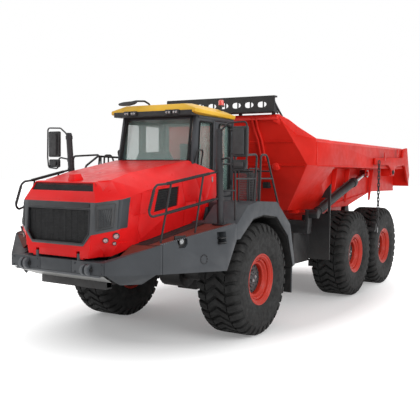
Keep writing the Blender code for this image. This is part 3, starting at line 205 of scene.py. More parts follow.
def cast(tree, shader, colour, roughness):
    """Cast or forged steel: grainy, uneven and half matt."""
    shade = mixed(tree, spread(tree, noise(tree, 14, 8), 0.35), scaled(colour, 0.7), colour)
    rough = spread(tree, noise(tree, 30, 3), out_low=roughness - 0.12, out_high=roughness + 0.15)
    plug(tree, shader, Base_Color=shade, Metallic=0.7, Roughness=rough)
    bump(tree, shader, noise(tree, 90, 6), 0.35, 0.002)


def polished(tree, shader, colour):
    """Plated rod: bright, with fine lines drawn along it."""
    lines = noise(tree, 30, 4, (8, 0.5, 0.5))
    shade = mixed(tree, spread(tree, lines), scaled(colour, 0.85), scaled(colour, 1.2))
    plug(tree, shader, Base_Color=shade, Metallic=1.0, Roughness=spread(tree, lines, out_low=0.12, out_high=0.22))


def tinted(tree, shader, colour, alpha):
    """Tinted safety glass with faint streaks."""
    streak = spread(tree, noise(tree, 2.2, 5, (1, 1, 0.35)), 0.35)
    plug(tree, shader, Base_Color=mixed(tree, streak, scaled(colour, 0.92), scaled(colour, 1.06)), Alpha=alpha,
         Roughness=spread(tree, noise(tree, 12, 3), out_low=0.03, out_high=0.07), Specular_IOR_Level=0.8)


def moulded(tree, shader, colour, roughness):
    """Moulded plastic with a fine leather-like grain."""
    shade = mixed(tree, spread(tree, noise(tree, 8, 4), 0.35), colour, scaled(colour, 1.35, 0.004))
    rough = spread(tree, noise(tree, 20, 3), out_low=roughness - 0.08, out_high=roughness + 0.12)
    plug(tree, shader, Base_Color=shade, Roughness=rough)
    bump(tree, shader, noise(tree, 320, 3), 0.4, 0.0006)


def woven(tree, shader, colour):
    """Seat cloth: a fine over-and-under weave."""
    waves = []
    for direction in "XZ":
        wave = add(tree, "ShaderNodeTexWave", Vector=own_place(tree), Scale=110, Distortion=0.6)
        wave.bands_direction = direction
        waves.append(wave.outputs["Fac"])
    weave = math_node(tree, "MULTIPLY", *waves)
    plug(tree, shader, Base_Color=mixed(tree, weave, scaled(colour, 0.6), scaled(colour, 1.5)), Roughness=0.9,
         Sheen_Weight=0.3)
    bump(tree, shader, weave, 0.5, 0.001)


def lit(tree, shader, colour, roughness, glow):
    """Lamp lens: smooth and slightly lit from inside."""
    ribs = noise(tree, 70, 2)
    plug(tree, shader, Base_Color=mixed(tree, spread(tree, ribs), scaled(colour, 0.8), colour), Roughness=roughness,
         Coat_Weight=1.0, Emission_Color=colour, Emission_Strength=glow)
    bump(tree, shader, ribs, 0.2, 0.002)


# Each finish: its maker, its colour or the name of one, a share of that colour, and the maker's own values.
LOOKS = {
    "hood_red": (painted, "hood", 1, 0.34, 0.03, 0.006, 0.16),
    "bed_red": (painted, "bed", 1, 0.42, 0.0, 0.015, 0.15),
    "bright_red": (painted, "bed", 1.2, 0.36, 0.06, 0.03, 0.3),
    "rim_orange": (painted, "rim", 1, 0.40, 0.05, 0.03, 0.25),
    "slate_grey": (painted, "slate", 1, 0.46, 0.0, 0.05, 0.28),
    "light_slate": (painted, "slate", 1.5, 0.45, 0.10, 0.08),
    "mask_grey": (painted, "slate", 0.72, 0.45, 0.10, 0.06),
    "cab_grey": (painted, "slate", 0.95, 0.42, 0.02, 0.05, 0.3),
    "rail_grey": (painted, (0.020, 0.020, 0.022), 1, 0.44, 0.0, 0.04, 0.3),
    "post_grey": (painted, (0.024, 0.024, 0.027), 1, 0.42, 0.0, 0.04, 0.3),
    # A pale grey that paints the reflection seen under the bumper.
    "pale_plate": (painted, (0.36, 0.36, 0.35), 1, 0.42, 0.0, 0.05, 0.5),
    "chassis_black": (painted, "black", 1, 0.52, 0.03, 0.08, 0.35),
    "roof_yellow": (painted, "roof", 1, 0.40, 0.05, 0.03, 0.3),
    "deck_brown": (painted, "deck", 1, 0.55, 0.0, 0.06, 0.2),
    "tyre_rubber": (rubber, "rubber", 1, 0.30),
    "seal_rubber": (rubber, "rubber", 0.7, 0.14),
    "tinted_glass": (tinted, "glass", 1, 0.27),
    "lamp_glass": (tinted, (0.80, 0.82, 0.83), 1, 0.30),
    "engine_steel": (cast, (0.16, 0.16, 0.165), 1, 0.55),
    "chain_steel": (cast, (0.07, 0.07, 0.072), 1, 0.5),
    "hub_grey": (cast, (0.075, 0.075, 0.078), 1, 0.5),
    "bolt_steel": (cast, "steel", 1, 0.4),
    "rod_steel": (polished, (0.30, 0.30, 0.31), 1),
    "mirror_glass": (polished, (0.80, 0.82, 0.83), 1),
    "seat_fabric": (woven, (0.05, 0.05, 0.055), 1),
    "black_plastic": (moulded, (0.016, 0.016, 0.017), 1, 0.5),
    "grey_plastic": (moulded, (0.07, 0.078, 0.078), 1, 0.6),
    "mirror_shell": (moulded, (0.018, 0.018, 0.019), 1, 0.6),
    "black_mesh": (moulded, (0.007, 0.007, 0.008), 1, 0.62),
    "beacon_orange": (lit, "beacon", 1, 0.25, 0.12),
}
# The record's slot for each finish that it doesn't name itself.
NEAREST_SLOT = {
    "seal_rubber": "tyre_rubber", "lamp_glass": "tinted_glass", "mirror_glass": "rod_steel",
    "black_mesh": "black_plastic", "grey_plastic": "black_plastic", "mirror_shell": "black_plastic",
    "bolt_steel": "engine_steel", "hub_grey": "engine_steel", "rail_grey": "chassis_black",
    "post_grey": "chassis_black", "bright_red": "bed_red", "light_slate": "slate_grey",
    "mask_grey": "slate_grey", "cab_grey": "slate_grey", "deck_brown": "slate_grey", "pale_plate": "slate_grey",
}
_made = {}


def new_material(name):
    material = bpy.data.materials.new(name)
    material.use_nodes = True
    return material, material.node_tree, material.node_tree.nodes["Principled BSDF"]


def finish(name):
    """The material of that name, made once."""
    if name not in _made:
        maker, colour, share, *values = LOOKS[name]
        if isinstance(colour, str):
            colour = getattr(bpy.context.scene.truck_colours, colour)
        _made[name], tree, shader = new_material(name)
        maker(tree, shader, scaled(colour, share), *values)
    return _made[name]


# ---- Shapes ----------------------------------------------------------------------------------------
def to_mesh(shape, recalculate=True):
    """A bmesh turned into a mesh, with its faces made to point out if recalculate is true."""
    if recalculate:
        bmesh.ops.recalc_face_normals(shape, faces=shape.faces)
    mesh = bpy.data.meshes.new("shape")
    shape.to_mesh(mesh)
    shape.free()
    return mesh


def opened(*meshes):
    shape = bmesh.new()
    for mesh in meshes:
        shape.from_mesh(mesh)
    return shape


def together(*meshes):
    """Several shapes as one mesh, which may overlap."""
    return to_mesh(opened(*meshes), False)


def hull(points):
    """The convex solid round a list of points."""
    shape = bmesh.new()
    corners = [shape.verts.new(p) for p in points]
    out = bmesh.ops.convex_hull(shape, input=corners)
    for vert in {v for v in out["geom_interior"] + out["geom_unused"] if isinstance(v, bmesh.types.BMVert)}:
        shape.verts.remove(vert)
    bmesh.ops.dissolve_limit(shape, angle_limit=0.001, verts=shape.verts, edges=shape.edges)
    return to_mesh(shape)


def box(x, y, z):
    return hull([(a, b, c) for a in x for b in y for c in z])


def solid(front, back):
    """A closed solid between two outlines with the same number of corners."""
    shape = bmesh.new()
    front, back = ([shape.verts.new(p) for p in outline] for outline in (front, back))
    shape.faces.new(front)
    shape.faces.new(back)
    for i in range(len(front)):
        j = (i + 1) % len(front)
        shape.faces.new((front[i], front[j], back[j], back[i]))
    return to_mesh(shape)


def banded(shape, outlines):
    """Each outline joined to the next by a band of faces. Gives each outline's corners."""
    rows = [[shape.verts.new(p) for p in outline] for outline in outlines]
    for a, b in zip(rows, rows[1:]):
        for i in range(len(a)):
            j = (i + 1) % len(a)
            shape.faces.new((a[i], a[j], b[j], b[i]))
    return rows


def prism(profile, axis, low, high):
    """A flat outline pushed along X, Y or Z. The outline is (y, z), (x, z) or (x, y)."""
    n = "xyz".index(axis)
    return solid(*[[(*p[:n], t, *p[n:]) for p in profile] for t in (low, high)])


def slab(corners, thickness):
    """A flat panel from its outer corners, thickened inwards, against the way it faces."""
    corners = [Vector(c) for c in corners]
    normal = (corners[1] - corners[0]).cross(corners[2] - corners[0]).normalized()
    return solid(corners, [c - normal * thickness for c in corners])


def turned(profile, centre, direction=(1, 0, 0), sides=64):
    """An outline of (along, radius) turned about a direction through centre. It closes where the radius is 0."""
    turn = Vector((1, 0, 0)).rotation_difference(Vector(direction)).to_matrix()
    shape = bmesh.new()
    rows = []
    for along, radius in profile:
        angles = [0] if radius == 0 else [2 * pi * (k + 0.5) / sides for k in range(sides)]
        rows.append([shape.verts.new(turn @ Vector((along, radius * cos(t), radius * sin(t))) + Vector(centre))
                     for t in angles])
    for n in range(len(rows) if profile[0][1] else len(rows) - 1):
        a, b = rows[n], rows[(n + 1) % len(rows)]
        for k in range(sides):
            m = (k + 1) % sides
            corners = list(dict.fromkeys([a[k % len(a)], a[m % len(a)], b[m % len(b)], b[k % len(b)]]))
            if len(corners) > 2:
                shape.faces.new(corners)
    return to_mesh(shape)


def rod(a, b, radius, sides=20):
    """A round bar from a to b."""
    a, b = Vector(a), Vector(b)
    reach = (b - a).length
    return turned([(0, 0), (0, radius), (reach, radius), (reach, 0)], a, (b - a).normalized(), sides)


def plate(x, y, z, edge, segments=2):
    """A box between two values along each axis, with its edges rounded."""
    return rounded(box(x, y, z), edge, segments)


def shifted(mesh, by):
    """A copy of a shape, moved."""
    mesh = mesh.copy()
    mesh.transform(Matrix.Translation(by))
    return mesh


def mirrored(mesh):
    """The same shape on the other side of the truck."""
    other = mesh.copy()
    other.transform(Matrix.Scale(-1, 4, (1, 0, 0)))
    other.flip_normals()
    return other


def both(*meshes):
    """Left shapes with their mirror images."""
    return [side for mesh in meshes for side in (mesh, mirrored(mesh))]


def placed(name, mesh):
    """An object with that mesh in the scene."""
    thing = bpy.data.objects.new(name, mesh)
    bpy.context.scene.collection.objects.link(thing)
    return thing


def modified(mesh, kind, **settings):
    """The mesh that one modifier makes of a shape."""
    thing = placed("shape", mesh)
    step = thing.modifiers.new("step", kind)
    for name, value in settings.items():
        if hasattr(step, name):
            setattr(step, name, value)
        else:
            step[name] = value
    return taken(thing)


def taken(thing):
    """An object's mesh with its modifiers applied. The object goes."""
    mesh = bpy.data.meshes.new_from_object(thing.evaluated_get(bpy.context.evaluated_depsgraph_get()))
    bpy.data.objects.remove(thing)
    return mesh


def combined(mesh, tool, operation):
    """Two closed shapes put through one boolean operation."""
    helper = placed("helper", tool)
    out = modified(mesh, "BOOLEAN", operation=operation, solver="EXACT", object=helper)
    bpy.data.objects.remove(helper)
    return out


def cut(mesh, *tools):
    """A shape with others taken out of it."""
    for tool in tools:
        mesh = combined(mesh, tool, "DIFFERENCE")
    return mesh


def common(mesh, tool):
    """What two closed shapes have in common."""
    return combined(mesh, tool, "INTERSECT")


def rounded(mesh, width, segments=2, angle=28):
    """A shape with its sharp edges rounded."""
    return modified(mesh, "BEVEL", width=width, segments=segments, limit_method="ANGLE", angle_limit=radians(angle),
                    use_clamp_overlap=True, harden_normals=False)


def outward(mesh):
    """The mesh with doubled points merged and every face pointing out."""
    shape = opened(mesh)
    bmesh.ops.remove_doubles(shape, verts=shape.verts, dist=0.00001)
    return to_mesh(shape)


def cad_shape(node):
    """A copy of a frame node's mesh in the axle frame, merged and with its flat faces whole."""
    shape = opened(frame["nodes"][node].data)
    bmesh.ops.remove_doubles(shape, verts=shape.verts, dist=0.00005)
    bmesh.ops.dissolve_limit(shape, angle_limit=radians(0.6), verts=shape.verts, edges=shape.edges)
    bmesh.ops.translate(shape, verts=shape.verts, vec=(0, -AXLE_Y, 0))
    return to_mesh(shape, False)


def swollen(mesh, lift):
    """A closed shape with every face moved outwards by lift."""
    shape = opened(mesh)
    shape.normal_update()
    moves = [v.normal * (lift * v.calc_shell_factor()) for v in shape.verts]
    for vert, move in zip(shape.verts, moves):
        vert.co += move
    return to_mesh(shape, False)


def strips(points, width, axis, low, high):
    """Cutters for a seam along points, flat in the plane across axis."""
    out = []
    for a, b in zip(points, points[1:]):
        a, b = Vector(a), Vector(b)
        run = (b - a).normalized() * width / 2
        across = Vector((-run.y, run.x))
        out.append(prism([a - run - across, b + run - across, b + run + across, a - run + across], axis, low, high))
    return out


def plane_y(a, b, c):
    """Gives the point of the plane through a, b and c at an x and z."""
    a, b, c = Vector(a), Vector(b), Vector(c)
    normal = (b - a).cross(c - a)
    facing = normal.normalized() * (-1 if normal.y > 0 else 1)

    def at(x, z, lift=0.0):
        y = a.y - (normal.x * (x - a.x) + normal.z * (z - a.z)) / normal.y
        return Vector((x, y, z)) + facing * lift

    at.facing = facing
    return at


def draped(mesh, node, flat, lift):
    """A shape made in the plane y = flat, laid over the front of a frame node and held off it."""
    shape = opened(mesh)
    long = [e for e in shape.edges if e.calc_length() > 0.05]
    bmesh.ops.subdivide_edges(shape, edges=long, cuts=7, use_grid_fill=True)
    front = frame["nodes"][node].data
    tree = BVHTree.FromPolygons([v.co - Vector((0, AXLE_Y, 0)) for v in front.vertices],
                                [f.vertices for f in front.polygons])
    for vert in shape.verts:
        hit = tree.ray_cast(Vector((vert.co.x, -20, vert.co.z)), Vector((0, 1, 0)))[0]
        if hit:
            vert.co.y += hit.y - flat - lift
    return to_mesh(shape)


def piece(name, shapes, on, look, stands_for=(), smooth=32, slot=None):
    """One finished piece: placed, shaded, given its material and set to ride on a body or a node's body."""
    mesh = together(*shapes) if isinstance(shapes, list) else shapes.copy()
    mesh.name = name
    mesh.transform(Matrix.Translation((0, AXLE_Y, 0)))
    mesh.materials.clear()
    mesh.materials.append(finish(look))
    mesh.shade_smooth()
    mesh.set_sharp_from_angle(angle=radians(smooth))
    thing = placed(name, mesh)
    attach(thing, BODY.get(on, on))
    slot or NEAREST_SLOT.get(look, look)
    if stands_for:
        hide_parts(*stands_for)
    return thing


def pair(name, shapes, on, look, slot=None):
    """Left shapes and their mirror images as one piece."""
    piece(name, both(*shapes), on, look, slot=slot)


def sides():
    """Each side's name, and what turns a left shape into that side's."""
    return (("left", lambda mesh: mesh), ("right", mirrored))


def refined(node, width, segments=2, cutters=(), look=None):
    """A frame node with its edges rounded, in the node's own finish unless another is given."""
    mesh = rounded(cut(cad_shape(node), *cutters), width, segments)
    piece(f"{node}_skin", mesh, node, look or SLOT[node], [node], slot=SLOT[node])


def keep(*nodes):
    """Frame nodes that stay as they are, in their own finish."""
    for node in nodes:
        mesh = frame["nodes"][node].data
        mesh.materials.clear()
        mesh.materials.append(finish(SLOT[node]))


# ---- Repeating shapes ------------------------------------------------------------------------------
def new_tree(name, **inputs):
    """An empty Geometry Nodes tree with its named inputs, and the sockets that give them."""
    tree = bpy.data.node_groups.new(name, "GeometryNodeTree")
    tree.interface.new_socket("Geometry", in_out="OUTPUT", socket_type="NodeSocketGeometry")
    for label, kind in {"Geometry": "Geometry", **inputs, "Material": "Material"}.items():
        tree.interface.new_socket(label, in_out="INPUT", socket_type=f"NodeSocket{kind}")
    return tree, tree.nodes.new("NodeGroupInput").outputs


def close_tree(tree, source, geometry):
    """Set Material at the end of a tree."""
    paint = add(tree, "GeometryNodeSetMaterial", Geometry=geometry, Material=source["Material"])
    tree.links.new(paint.outputs["Geometry"], tree.nodes.new("NodeGroupOutput").inputs["Geometry"])
    return tree


def copied(tree, source, points, **turn):
    """The tree's shape at each point, turned by the values given, made real and painted."""
    if turn:
        turn = {"Rotation": add(tree, "ShaderNodeCombineXYZ", **turn).outputs["Vector"]}
    copies = add(tree, "GeometryNodeInstanceOnPoints", Points=points, Instance=source["Geometry"], **turn)
    real = add(tree, "GeometryNodeRealizeInstances", Geometry=copies.outputs["Instances"])
    return close_tree(tree, source, real.outputs["Geometry"])


def ring_tree():
    """Copies of the shape turned evenly about X."""
    tree, source = new_tree("Ring", Count="Int", Start="Float")
    line = add(tree, "GeometryNodeMeshLine", Count=source["Count"], Offset=(0, 0, 0))
    step = math_node(tree, "DIVIDE", 2 * pi, source["Count"])
    index = add(tree, "GeometryNodeInputIndex").outputs["Index"]
    turn = math_node(tree, "ADD", math_node(tree, "MULTIPLY", index, step), source["Start"])
    return copied(tree, source, line.outputs["Mesh"], X=turn)


def row_tree():
    """Copies of the shape in a straight row, each turned by Turn from the last, about Z."""
    tree, source = new_tree("Row", Count="Int", Step="Vector", Turn="Float")
    line = add(tree, "GeometryNodeMeshLine", Count=source["Count"], Offset=source["Step"])
    index = add(tree, "GeometryNodeInputIndex").outputs["Index"]
    return copied(tree, source, line.outputs["Mesh"], Z=math_node(tree, "MULTIPLY", index, source["Turn"]))


def scatter_tree():
    """A copy of the shape at every point of another object's mesh."""
    tree, source = new_tree("Places", Places="Object")
    info = add(tree, "GeometryNodeObjectInfo", Object=source["Places"])
    return copied(tree, source, info.outputs["Geometry"])


def tube_tree():
    """A bent tube along the shape's edges, with its bends rounded."""
    tree, source = new_tree("Tube", Radius="Float", Bend="Float", Sides="Int")
    curve = add(tree, "GeometryNodeMeshToCurve", Mesh=source["Geometry"]).outputs["Curve"]
    fillet = tree.nodes.new("GeometryNodeFilletCurve")
    fillet.mode = "POLY"
    plug(tree, fillet, Curve=curve, Count=7, Limit_Radius=True, Radius=source["Bend"])
    profile = add(tree, "GeometryNodeCurvePrimitiveCircle", Resolution=source["Sides"], Radius=source["Radius"])
    sweep = add(tree, "GeometryNodeCurveToMesh", Curve=fillet.outputs["Curve"],
                Profile_Curve=profile.outputs["Curve"], Fill_Caps=True)
    return close_tree(tree, source, sweep.outputs["Mesh"])


TREES = {"Ring": ring_tree, "Row": row_tree, "Places": scatter_tree, "Tube": tube_tree}


def grown(kind, mesh, slot, **values):
    """The mesh that a tree makes of a shape."""
    tree = bpy.data.node_groups.get(kind) or TREES[kind]()
    values["Material"] = finish(slot)
    keys = {item.name: item.identifier for item in tree.interface.items_tree if item.in_out == "INPUT"}
    return modified(mesh, "NODES", node_group=tree, **{keys[name]: value for name, value in values.items()})


def ring(mesh, centre, count, slot, start=0.0, direction=(1, 0, 0)):
    """Copies of a shape, drawn about the X axis, round a direction through centre."""
    out = grown("Ring", mesh, slot, Count=count, Start=start)
    turn = Vector((1, 0, 0)).rotation_difference(Vector(direction)).to_matrix().to_4x4()
    out.transform(Matrix.Translation(centre) @ turn)
    return out


def row(mesh, count, step, slot, turn=0.0):
    return grown("Row", mesh, slot, Count=count, Step=tuple(step), Turn=turn)


def tube(points, radius, slot="chassis_black", bend=0.06, sides=12, closed=False):
    """A tube through points with rounded bends."""
    count = len(points)
    path = bpy.data.meshes.new("path")
    path.from_pydata([tuple(p) for p in points], [(n, (n + 1) % count) for n in range(count - (not closed))], [])
    return outward(grown("Tube", path, slot, Radius=radius, Bend=bend, Sides=sides))


def bolt_head(radius, height, direction=(1, 0, 0)):
    """A hexagon head on its washer, standing on the origin."""
    washer, top = radius * 1.35, height * 0.2
    return together(turned([(0, 0), (0, washer), (top, washer), (top, 0)], (0, 0, 0), direction, 16),
                    turned([(0, 0), (0, radius), (height * 0.9, radius), (height, radius * 0.8), (height, 0)],
                           (0, 0, 0), direction, 6))


def bolts(places, direction, radius, look="chassis_black", height=None):
    """Hexagon heads at each place, facing one direction."""
    spots = bpy.data.meshes.new("places")
    spots.from_pydata([tuple(p) for p in places], [], [])
    holder = placed("places", spots)
    out = grown("Places", bolt_head(radius, height or radius * 0.75, direction), look, Places=holder)
    bpy.data.objects.remove(holder)
    return out


def mesh_screen(corners, slot, pitch=0.03, wire=0.004):
    """Welded mesh in a four-cornered opening: bars along both ways."""
    a, b, c, d = (Vector(p) for p in corners)
    out = []
    for start, end, side_start, side_end in ((a, b, d, c), (a, d, b, c)):
        count = max(2, int((side_start - start).length / pitch))
        step = ((side_start - start) + (side_end - end)) / 2 / (count + 1)
        out.append(row(shifted(rod(start, end, wire, 4), step), count, step, slot))
    return together(*out)


# ---- Stage -----------------------------------------------------------------------------------------
CAMERA_PLACE = (6.792, -9.757, 2.696)
CAMERA_TURN = (32.13, 3.33, 0.69)        # to the right of +Y, downwards, and rolled, in degrees
CAMERA_LENS = 57.79
VIEW_REACH = 400
# Each area light: its place, the point it faces, its size and its power.
LIGHTS = {"key": ((11.5, -5.5, 7.5), (0, 0, 1.4), 9.0, 720), "fill": ((-7.5, -11.0, 6.0), (0, 0, 1.4), 9.0, 200),
          "top": ((0.0, 3.0, 12.0), (0, 0, 1.0), 10.0, 190)}
FLOOR_HALF = 120
FADE_FROM, FADE_TO = 4.0, 6.9


class TruckOperator:
    """Shared settings of the truck's operators."""

    bl_options = {"REGISTER", "UNDO"}


class TRUCK_OT_stage(TruckOperator, bpy.types.Operator):
    """Pale floor, soft studio light and the camera"""

    bl_idname = "truck.stage"
    bl_label = "Stage"

    def execute(self, context):
        scene = context.scene
        scene.view_settings.view_transform = "Standard"
        stage_camera(scene)
        stage_world(scene)
        stage_floor()
        for name, (place, target, size, power) in LIGHTS.items():
            light = bpy.data.lights.new(name, "AREA")
            light.shape = "DISK"
            light.size = size
            light.energy = power
            lamp = placed(name, light)
            lamp.location = place
            lamp.rotation_euler = (Vector(target) - Vector(place)).to_track_quat("-Z", "Y").to_euler()
        return {"FINISHED"}


def stage_camera(scene):
    yaw, pitch, roll = (radians(a) for a in CAMERA_TURN)
    forward = Vector((-sin(yaw) * cos(pitch), cos(yaw) * cos(pitch), -sin(pitch)))
    right = forward.cross(Vector((0, 0, 1))).normalized()
    up = right.cross(forward)
    across = cos(roll) * right + sin(roll) * up
    over = -sin(roll) * right + cos(roll) * up
    camera = placed("camera", bpy.data.cameras.new("camera"))
    turn = Matrix((across, over, -forward)).transposed().to_4x4()
    camera.matrix_world = Matrix.Translation(Vector(CAMERA_PLACE) + Vector((0, AXLE_Y, 0))) @ turn
    camera.data.lens = CAMERA_LENS
    camera.data.clip_end = VIEW_REACH
    scene.camera = camera


def stage_world(scene):
    """White to the camera and in reflections, a plain level of light elsewhere."""
    scene.world = bpy.data.worlds.new("studio")
    scene.world.use_nodes = True
    tree = scene.world.node_tree
    plug(tree, tree.nodes["Background"], Color=(1, 1, 1),
         Strength=math_node(tree, "MULTIPLY_ADD", looked_at(tree), 0.45, 0.55))


def looked_at(tree):
    """1 for a ray from the camera, off something glossy or through glass."""
    rays = tree.nodes.new("ShaderNodeLightPath").outputs
    glossy = math_node(tree, "MAXIMUM", rays["Is Glossy Ray"], rays["Is Transmission Ray"])
    return math_node(tree, "MAXIMUM", rays["Is Camera Ray"], glossy)


def stage_floor():
    """A wide pale floor that keeps the truck's shadow and fades to white away from it."""
    mesh = bpy.data.meshes.new("floor")
    mesh.from_pydata([(x * FLOOR_HALF, y * FLOOR_HALF, 0) for x, y in ((-1, -1), (1, -1), (1, 1), (-1, 1))], [],
                     [(0, 1, 2, 3)])
    material, tree, shader = new_material("pale_floor")
    oval = add(tree, "ShaderNodeMapping", Vector=own_place(tree), Scale=(1.9, 1, 1))
    away = add(tree, "ShaderNodeVectorMath", Vector=oval.outputs["Vector"])
    away.operation = "LENGTH"
    fade = spread(tree, away.outputs["Value"], FADE_FROM, FADE_TO, 0.20, 1.0)
    plug(tree, shader, Base_Color=(0.82, 0.82, 0.82), Roughness=0.9, Specular_IOR_Level=0.1,
         Emission_Color=(1, 1, 1), Emission_Strength=math_node(tree, "MULTIPLY", looked_at(tree), fade))
    mesh.materials.append(material)
    placed("floor", mesh)


# ---- Wheels ----------------------------------------------------------------------------------------
TYRE_BEAD = 0.405
HUB_FACE = 0.165
# Outline of a rim about its axis, outward positive, from the dish's hole over the flange to the back.
RIM_OUTLINE = [(0.150, 0.243), (0.214, 0.248), (0.226, 0.256), (0.232, 0.276), (0.250, 0.292), (0.264, 0.300),
               (0.270, 0.310), (0.270, 0.326), (0.258, 0.333), (0.258, 0.340), (0.288, 0.347), (0.291, 0.356),
               (0.306, 0.366), (0.314, 0.378), (0.317, 0.392), (0.326, 0.400), (0.334, 0.409), (0.335, 0.420),
               (0.326, 0.428), (0.314, 0.424), (0.308, 0.404), (-0.306, 0.404), (-0.312, 0.426), (-0.326, 0.428),
               (-0.334, 0.414), (-0.322, 0.385), (-0.20, 0.370), (-0.14, 0.352), (0.10, 0.300), (0.148, 0.262)]
# Outline of the hub: the carrier behind, its bolted face and the raised cap.
HUB_OUTLINE = [(-0.199, 0), (-0.199, 0.262), (-0.150, 0.345), (-0.135, 0.345), (0.0, 0.262)]
HUB_OUTLINE += [(HUB_FACE + x, r) for x, r in ((-0.045, 0.250), (-0.012, 0.246), (-0.012, 0.232), (0, 0.228),
                                               (0, 0.150), (0.012, 0.144), (0.022, 0.136), (0.022, 0.062),
                                               (0.032, 0.056), (0.034, 0.020), (0.034, 0))]


def wheels():
    """Each wheel's axle, side and centre."""
    return [(end, name, Vector((side * WHEEL_X, y, TYRE_RADIUS)))
            for end, y in AXLES.items() for name, side in SIDES.items()]


class TRUCK_OT_tyres(TruckOperator, bpy.types.Operator):
    """Six earthmover tyres with a zigzag tread"""

    bl_idname = "truck.tyres"
    bl_label = "Tyres"

    def execute(self, context):
        depth = sizes().lug_depth
        lug = tread_lug(depth)
        lugs = ring(together(lug, mirrored(lug)), (0, 0, 0), sizes().lug_count, "tyre_rubber")
        tread = together(tyre_carcass(depth), lugs)
        for end, name, centre in wheels():
            node = f"tyre_{end}_{name}"
            piece(f"{node}_tread", shifted(tread, centre), node, "tyre_rubber", [node], 34)
        return {"FINISHED"}


def tyre_carcass(depth):
    """Sidewalls with their beads, a low ring under the shoulders, and the tread base, about the X axis."""
    base = TYRE_RADIUS - depth
    side = [(0.300, TYRE_BEAD), (0.318, TYRE_BEAD + 0.003), (0.334, 0.428), (0.343, 0.450), (0.356, 0.490),
            (0.366, 0.540), (0.373, 0.610), (0.375, 0.680), (0.372, 0.735), (0.367, 0.772), (0.363, 0.776),
            (0.352, 0.806), (0.328, 0.842), (0.29, base - 0.014), (0.20, base)]
    inside = [(-0.27, 0.44), (-0.26, 0.60), (-0.22, 0.80), (0.22, 0.80), (0.26, 0.60), (0.27, 0.44)]
    return turned(side + [(-x, r) for x, r in reversed(side)] + inside, (0, 0, 0), sides=96)


def tread_lug(depth):
    """One tread bar on the +X half: from the middle down to the notch, up again and over the shoulder."""
    top, base = TYRE_RADIUS, TYRE_RADIUS - depth - 0.02
    pitch = 2 * pi / sizes().lug_count
    # Each station: across, turn and half width in pitches, top radius, base radius.
    inner = [(-0.002, -0.38, 0.34, top, base), (0.085, -0.02, 0.34, top, base), (0.166, 0.32, 0.33, top, base)]
    outer = [(0.186, 0.36, 0.33, top, base), (0.225, 0.30, 0.35, top, base - 0.005),
             (0.292, 0.16, 0.36, top - 0.004, base - 0.02), (0.330, 0.14, 0.34, top - 0.026, base - 0.05),
             (0.358, 0.16, 0.31, top - 0.075, base - 0.09), (0.372, 0.18, 0.25, top - 0.150, base - 0.11)]
    shape = bmesh.new()
    for path in (inner, outer):
        rings = []
        for n, (x, turn, half, high, low) in enumerate(path):
            tuck = 0.03 * (path is outer) * max(0, n - 2)
            corners = ((high, 0.90, 0), (high, -0.90, 0), (low, -1.12, tuck), (low, 1.12, tuck))
            angles = [(turn + half * share) * pitch for _, share, _ in corners]
            rings.append([(x - pull, r * cos(t), r * sin(t)) for (r, _, pull), t in zip(corners, angles)])
        rows = banded(shape, rings)
        shape.faces.new(rows[0])
        shape.faces.new(rows[-1])
    return to_mesh(shape)


class TRUCK_OT_rims(TruckOperator, bpy.types.Operator):
    """Shallow dished rims with their bolted hubs, nuts and valves"""

    bl_idname = "truck.rims"
    bl_label = "Rims"

    def execute(self, context):
        for end, name, centre in wheels():
            node = f"rim_{end}_{name}"
            out = Vector((SIDES[name], 0, 0))
            face = centre + out * HUB_FACE
            piece(f"{node}_dish", turned(RIM_OUTLINE, centre, out, 96), node, "rim_orange", [node], 24)
            hub = [turned(HUB_OUTLINE, centre, out)]
            for radius, reach, lift, count in ((0.013, 0.205, 0, 16), (0.010, 0.105, 0.022, 8)):
                nut = shifted(bolt_head(radius, radius), (0, reach, 0))
                hub.append(ring(nut, face + out * lift, count, "hub_grey", direction=out))
            piece(f"{node}_hub", hub, node, "hub_grey" if end == "front" else "chassis_black", slot="engine_steel")
            drain = shifted(bolt_head(0.020, 0.016), (0.036, 0.045, 0))
            piece(f"{node}_plug", ring(drain, face, 2, "bolt_steel", 0.6, out), node, "bolt_steel")
            stem = [centre + out * x + Vector((0, 0, z)) for x, z in ((0.27, 0.30), (0.292, 0.305), (0.305, 0.335))]
            piece(f"{node}_valve", tube(stem, 0.006, "black_plastic", 0.008, 8), node, "black_plastic")
        return {"FINISHED"}


# ---- Bumper and side boxes -------------------------------------------------------------------------
BUMPER_FACE = -2.98
# Each seam's x, its ends' heights, its width and how far back it cuts.
BUMPER_SEAMS = ((0.888, 1.20, 1.52, 0.008, -2.965), (0.30, 1.27, 1.46, 0.006, -2.972))
TOW_Y, TOW_Z = -2.985, 1.345
BOX_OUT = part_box("side_box_left")[1][0]
# Outline of the deck beside the hood as (x, y) of its outer edge, and its height there.
DECK_EDGE = [((1.41, -2.43), 1.68), ((1.74, -0.95), 1.90)]
# The deck's inner edge, and the outer edge of the dark band painted on the deck as the hood's shadow.
DECK_IN, BAND_OUT = 0.93, 1.19
BOX_FACE = ((1.41, -2.43), (1.74, -1.22))
LAMP_POCKET = ((-0.10, 0.05), (-0.06, -0.07), (0.05, -0.07), (0.10, -0.02))
LAMP_Y, LAMP_Z = -2.05, 1.685
FILLER_Y, FILLER_Z = -1.66, 1.43
TEETH = 40


